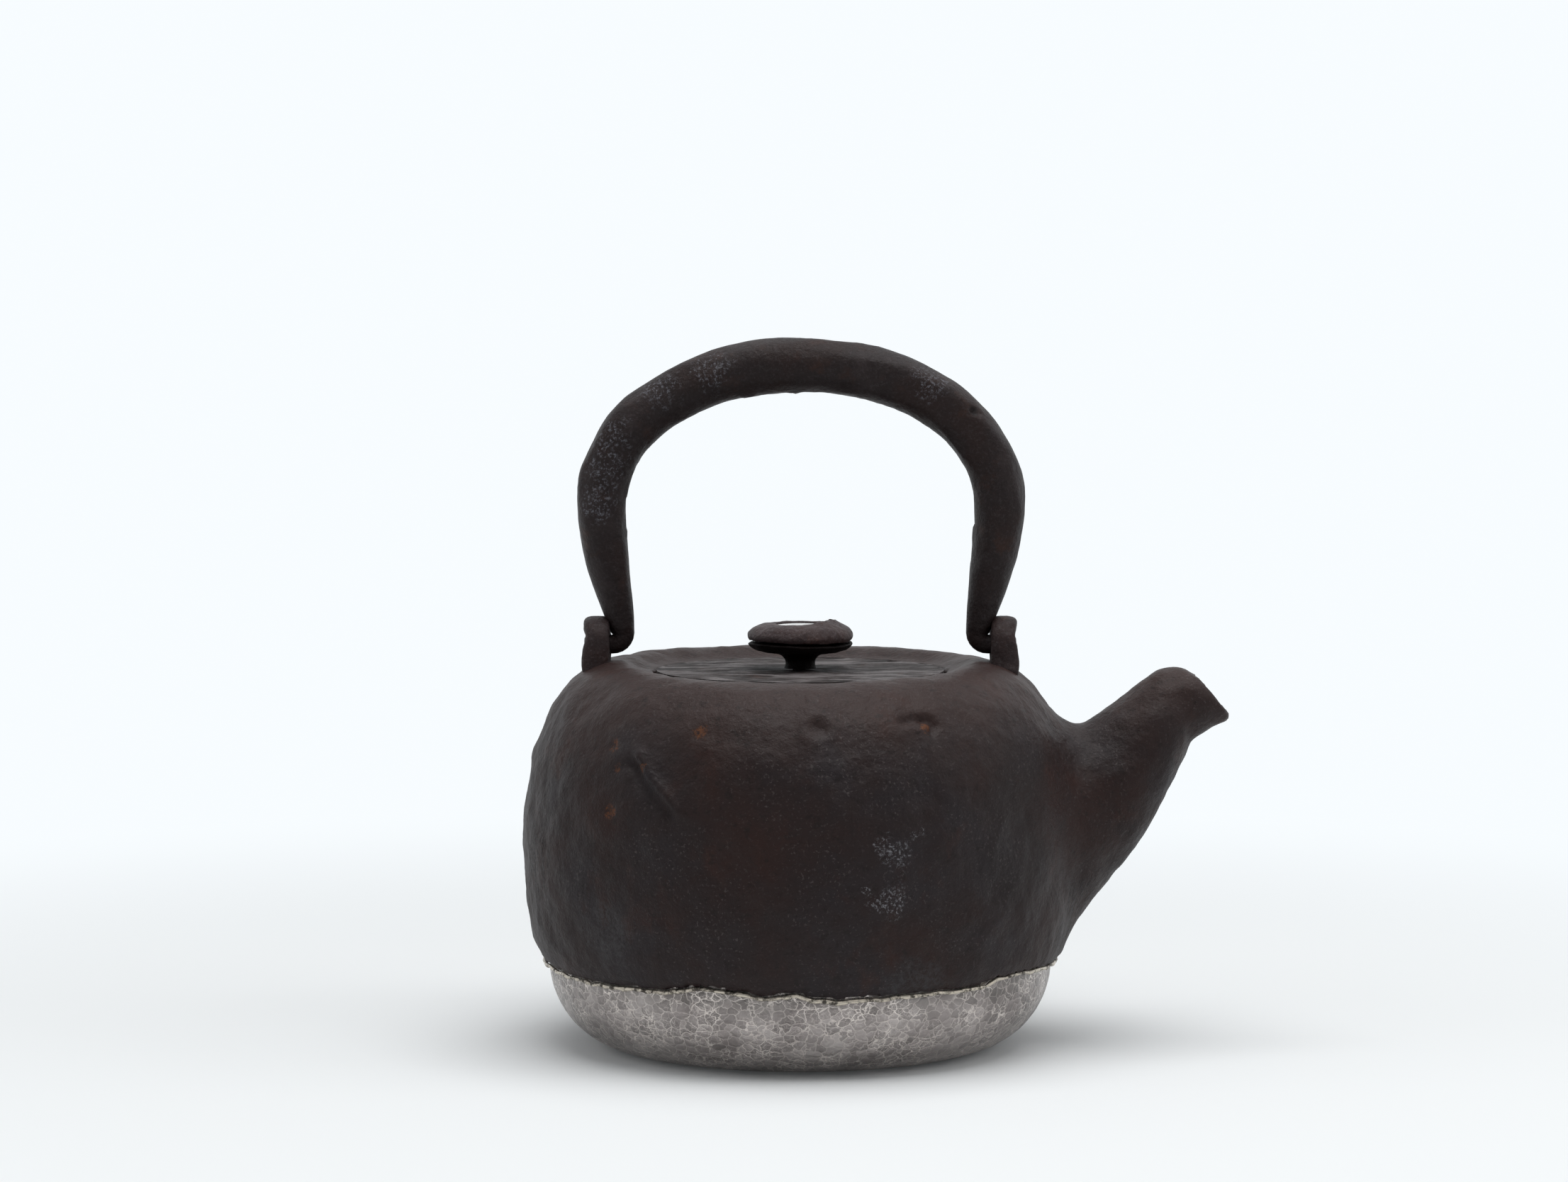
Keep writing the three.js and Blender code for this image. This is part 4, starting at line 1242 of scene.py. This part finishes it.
def lid_finish():
    recipe = new_recipe("grained_iron")
    along = recipe.place((0.26, 1, 1))
    fibres = recipe.cloud(4.5 * MM, 6, 0.72, along)
    wide = recipe.cloud(10 * MM, 4, 0.6, recipe.place((0.4, 1, 1)))
    ground = recipe.colours(
        fibres,
        (0.4, (0.013, 0.0095, 0.009)),
        (0.5, (0.05, 0.041, 0.04)),
        (0.6, (0.16, 0.145, 0.145)),
    )
    ground = recipe.over(ground, 0.5 * recipe.between(wide, 0.48, 0.7), (0.04, 0.029, 0.028))
    red = recipe.between(recipe.cloud(10 * MM, 5), 0.56, 0.75)
    ground = recipe.over(ground, 0.4 * red, (0.08, 0.04, 0.028))
    normal = recipe.bump(fibres, 0.8 * MM)
    normal = recipe.bump(recipe.cloud(0.6 * MM, 3), 0.06 * MM, normal)
    return recipe.surface(
        Base_Color=ground,
        Roughness=recipe.spread(fibres, 0.8, 0.5),
        Metallic=0.0,
        Specular_IOR_Level=0.2,
        Normal=normal,
    )


lid_metal = lid_finish()
finished("grained_lid", lid, lid_metal, "lid", "lid_iron", "lid_plate")

# %% [markdown]
# ## The knob
# The knob is two forged shells face to face: a saucer on a short stem, and a swollen cap over it. The split
# between them is a dark wavy line. A polished plate of silver is let into the top, with a crust of iron
# grown over its right side. All three are spun, and then loosened with soft noise.

# %% The saucer, the cap and the plate
cup_low, cup_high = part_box("knob_cup")
cap_low, cap_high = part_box("knob_cap")
knob_radius = cap_high.x
CUP_FLOOR = cup_low.z + 4 * MM
PLATE_RADIUS = 7 * MM
cup_knots = np.array(
    [
        (4.6 * MM, cup_low.z),
        (4.2 * MM, cup_low.z + 1.4 * MM),
        (4.6 * MM, cup_low.z + 2.8 * MM),
        (6.4 * MM, CUP_FLOOR),
        (0.78 * knob_radius, CUP_FLOOR + 0.8 * MM),
        (0.93 * knob_radius, CUP_FLOOR + 1.9 * MM),
        (0.99 * knob_radius, cup_high.z - 0.5 * MM),
        (0.97 * knob_radius, cup_high.z),
    ]
)
cap_rise = cap_high.z - cap_low.z
cap_knots = np.array(
    [
        (0.97 * knob_radius, cap_low.z),
        (knob_radius, cap_low.z + 0.24 * cap_rise),
        (0.97 * knob_radius, cap_low.z + 0.52 * cap_rise),
        (0.88 * knob_radius, cap_low.z + 0.78 * cap_rise),
        (0.71 * knob_radius, cap_low.z + 0.95 * cap_rise),
        (0.55 * knob_radius, cap_high.z),
        (PLATE_RADIUS, cap_high.z - 0.25 * MM),
    ]
)
cup_outline = [(BORE_RADIUS, cup_low.z), *map(tuple, smooth_through(cup_knots, 5)), (BORE_RADIUS, cup_high.z)]
cup = mesh_of("cup", turned([*cup_outline, (BORE_RADIUS, cup_low.z)], 110))
cap_floor = cap_high.z - 1.1 * MM
cap_outline = [(0, cap_low.z), (0.6 * knob_radius, cap_low.z), *map(tuple, smooth_through(cap_knots, 5))]
cap = mesh_of("cap", turned([*cap_outline, (PLATE_RADIUS, cap_floor), (0, cap_floor)], 110))


def loosened(mesh, depth, seed, drop):
    """Makes a knob's shell uneven, with hammered flats and a sunk skin that leaves room for them."""
    points, normals = points_of(mesh)
    outer = np.clip((np.hypot(points[:, 0], points[:, 1]) - 3.5 * MM) / (5 * MM), 0, 1)
    lift = 0.16 * hammered(points, normals, 4.5 * MM, 0.2 * MM, seed) - drop
    lift += depth * ripple(points, 5 * MM, 3, seed) + 0.4 * depth * ripple(points, 1.8 * MM, 2, seed + 3)
    points = points + (lift * outer)[:, None] * normals
    return points


split_wave = 0.22 * MM
points = loosened(cup, 0.2 * MM, 31, 0.15 * MM)
angle = np.arctan2(points[:, 1], points[:, 0])
rim = np.clip((points[:, 2] - CUP_FLOOR) / (2.5 * MM), 0, 1)
points[:, 2] += rim * (split_wave * np.sin(2 * angle + 0.4) - 0.2 * MM)
put_points(cup, points)
points = loosened(cap, 0.25 * MM, 32, 0.15 * MM)
angle = np.arctan2(points[:, 1], points[:, 0])
foot = np.clip(1 - (points[:, 2] - cap_low.z) / (2.5 * MM), 0, 1)
points[:, 2] += foot * split_wave * np.sin(2 * angle + 0.4)
crust = away_from(points, (6 * MM, -4 * MM, cap_high.z), (9 * MM, 0, cap_high.z))
points[:, 2] += 0.9 * MM * hill(crust, 3.4 * MM) * (1 + 0.5 * ripple(points, 1.3 * MM, 3, 2.0))
put_points(cap, points)
plate_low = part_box("knob_inlay")[0].z
plate_rim = 0.98 * PLATE_RADIUS
plate_edge = cap_high.z - 0.75 * MM
PLATE_DOME = 0.35 * MM
plate_dome = quarter_round((0, plate_edge), (plate_rim, PLATE_DOME), 15)[:-1]
plate_outline = [(0, plate_low), (plate_rim, plate_low), *plate_dome, (0, plate_edge + PLATE_DOME)]
plate = mesh_of("plate", turned(plate_outline, 96))
points, normals = points_of(plate)
lift = 0.6 * hammered(points, normals, 2.2 * MM, 0.02 * MM, 33) - 0.03 * MM
put_points(plate, points + (lift * (normals[:, 2] > 0.4))[:, None] * normals)


def bright_silver():
    recipe = new_recipe("bright_silver")
    haze = recipe.cloud(3 * MM, 4)
    ground = recipe.over((0.82, 0.8, 0.77), recipe.between(haze, 0.55, 0.75), (0.5, 0.46, 0.43))
    normal = recipe.bump(recipe.cloud(1.4 * MM, 2), 0.04 * MM)
    rough = recipe.spread(haze, 0.16, 0.34)
    return recipe.surface(Base_Color=ground, Roughness=rough, Metallic=1.0, Normal=normal)


# painted light: the knob's copy of the forged finish is painted 2.5 times lighter, as if better lit
lit_knob_metal = forged_finish("forged_knob", [], [], tone=2.5)
# painted shade: the saucer under the cap is painted much darker
shaded_saucer_metal = forged_finish("forged_saucer", [], [], tone=0.3)
finished("knob_saucer", cup, shaded_saucer_metal, "lid", "forged_iron", "knob_cup")
finished("knob_dome", cap, lit_knob_metal, "lid", "forged_iron", "knob_cap")
finished("knob_plate", plate, bright_silver(), "lid", "silver", "knob_inlay")

# %% [markdown]
# ## Pieces that stay as packed
# The flange under the lid, the washer and the rivet are plain turned work. Their solids are kept as they
# are, and only get the lid's and the knob's metal.

# %% Finishes for the kept nodes
for name, metal in {"lid_flange": lid_metal, "knob_washer": lid_metal, "knob_rivet": lit_knob_metal}.items():
    node = frame["nodes"][name]
    node.data.materials.clear()
    node.data.materials.append(metal)
print("kept nodes dressed")

# %% [markdown]
# ## Floor, world and light
# The kettle stands on white paper under wide soft lamps. The floor takes the shadow near the kettle and
# fades further off into the white of the world, so that no horizon shows. A wide lamp overhead makes the
# soft shadow, and two weaker ones at the sides draw the edges of the dark iron. What the glossy skin mirrors
# matters as much: the room in front is dim and the backdrop is white, so the flanks and edges shine.

# %% Stage and lamps
WHITE = (0.935, 0.975, 1.0)
FLOOR_SIZE = 6.0
floor_shape = bmesh.new()
bmesh.ops.create_grid(floor_shape, x_segments=8, y_segments=8, size=FLOOR_SIZE)
floor = bpy.data.objects.new("floor", mesh_of("floor", floor_shape))
bpy.context.scene.collection.objects.link(floor)


def seen_ray(recipe):
    """1 for rays that reach the eye straight or by a reflection."""
    camera_ray = recipe.node("ShaderNodeLightPath", output="Is Camera Ray")
    glossy_ray = recipe.node("ShaderNodeLightPath", output="Is Glossy Ray")
    return camera_ray.highest(glossy_ray)


def floor_finish():
    recipe = new_recipe("paper")
    away = recipe.node("ShaderNodeVectorMath", {"operation": "LENGTH"}, {0: recipe.place()}, "Value")
    far = recipe.between(away, 0.16, 0.55)
    paper = recipe.node("ShaderNodeBsdfDiffuse", sockets={"Color": (0.82, 0.835, 0.84)})
    lifted = recipe.node("ShaderNodeEmission", sockets={"Color": WHITE, "Strength": 0.03 * seen_ray(recipe)})
    near_floor = recipe.node("ShaderNodeAddShader", sockets={0: paper, 1: lifted})
    glow = recipe.node("ShaderNodeEmission", sockets={"Color": WHITE, "Strength": seen_ray(recipe)})
    mixed = recipe.node("ShaderNodeMixShader", sockets={0: far, 1: near_floor, 2: glow})
    output = next(n for n in recipe.tree.nodes if n.type == "OUTPUT_MATERIAL")
    recipe.plug(output.inputs["Surface"], mixed)
    return recipe.owner


floor.data.materials.append(floor_finish())

world = bpy.data.worlds.new("studio")
bpy.context.scene.world = world
sky = Recipe(world)
background = next(n for n in sky.tree.nodes if n.type == "BACKGROUND")
WORLD_LEVEL = 0.3
FRONT_LEVEL = 0.2
direction = sky.node("ShaderNodeTexCoord", output="Generated")
depth = sky.node("ShaderNodeSeparateXYZ", sockets={0: direction}, output="Y")
mirrored = FRONT_LEVEL + (1 - FRONT_LEVEL) * sky.between(depth, -0.15, 0.75)
to_camera = sky.node("ShaderNodeLightPath", output="Is Camera Ray")
to_gloss = sky.node("ShaderNodeLightPath", output="Is Glossy Ray")
strength = WORLD_LEVEL + (1 - WORLD_LEVEL) * to_camera + (mirrored - WORLD_LEVEL) * to_gloss
sky.plug(background.inputs["Color"], WHITE)
sky.plug(background.inputs["Strength"], strength)

LAMPS = {
    "overhead": ((0.1, -0.2, 1.4), 1.2, 17),
    "left_box": ((-1.3, -0.4, 0.8), 0.8, 2.2),
    "right_box": ((1.3, -0.3, 0.8), 0.8, 3.2),
}
LAMP_TARGET = Vector((0, 0, 0.06))
for name, (place, size_of_lamp, power) in LAMPS.items():
    lamp = bpy.data.lights.new(name, "AREA")
    lamp.size = size_of_lamp
    lamp.energy = power
    holder = bpy.data.objects.new(name, lamp)
    holder.location = place
    holder.rotation_euler = (LAMP_TARGET - Vector(place)).to_track_quat("-Z", "Y").to_euler()
    bpy.context.scene.collection.objects.link(holder)
bpy.context.scene.view_settings.view_transform = "Standard"
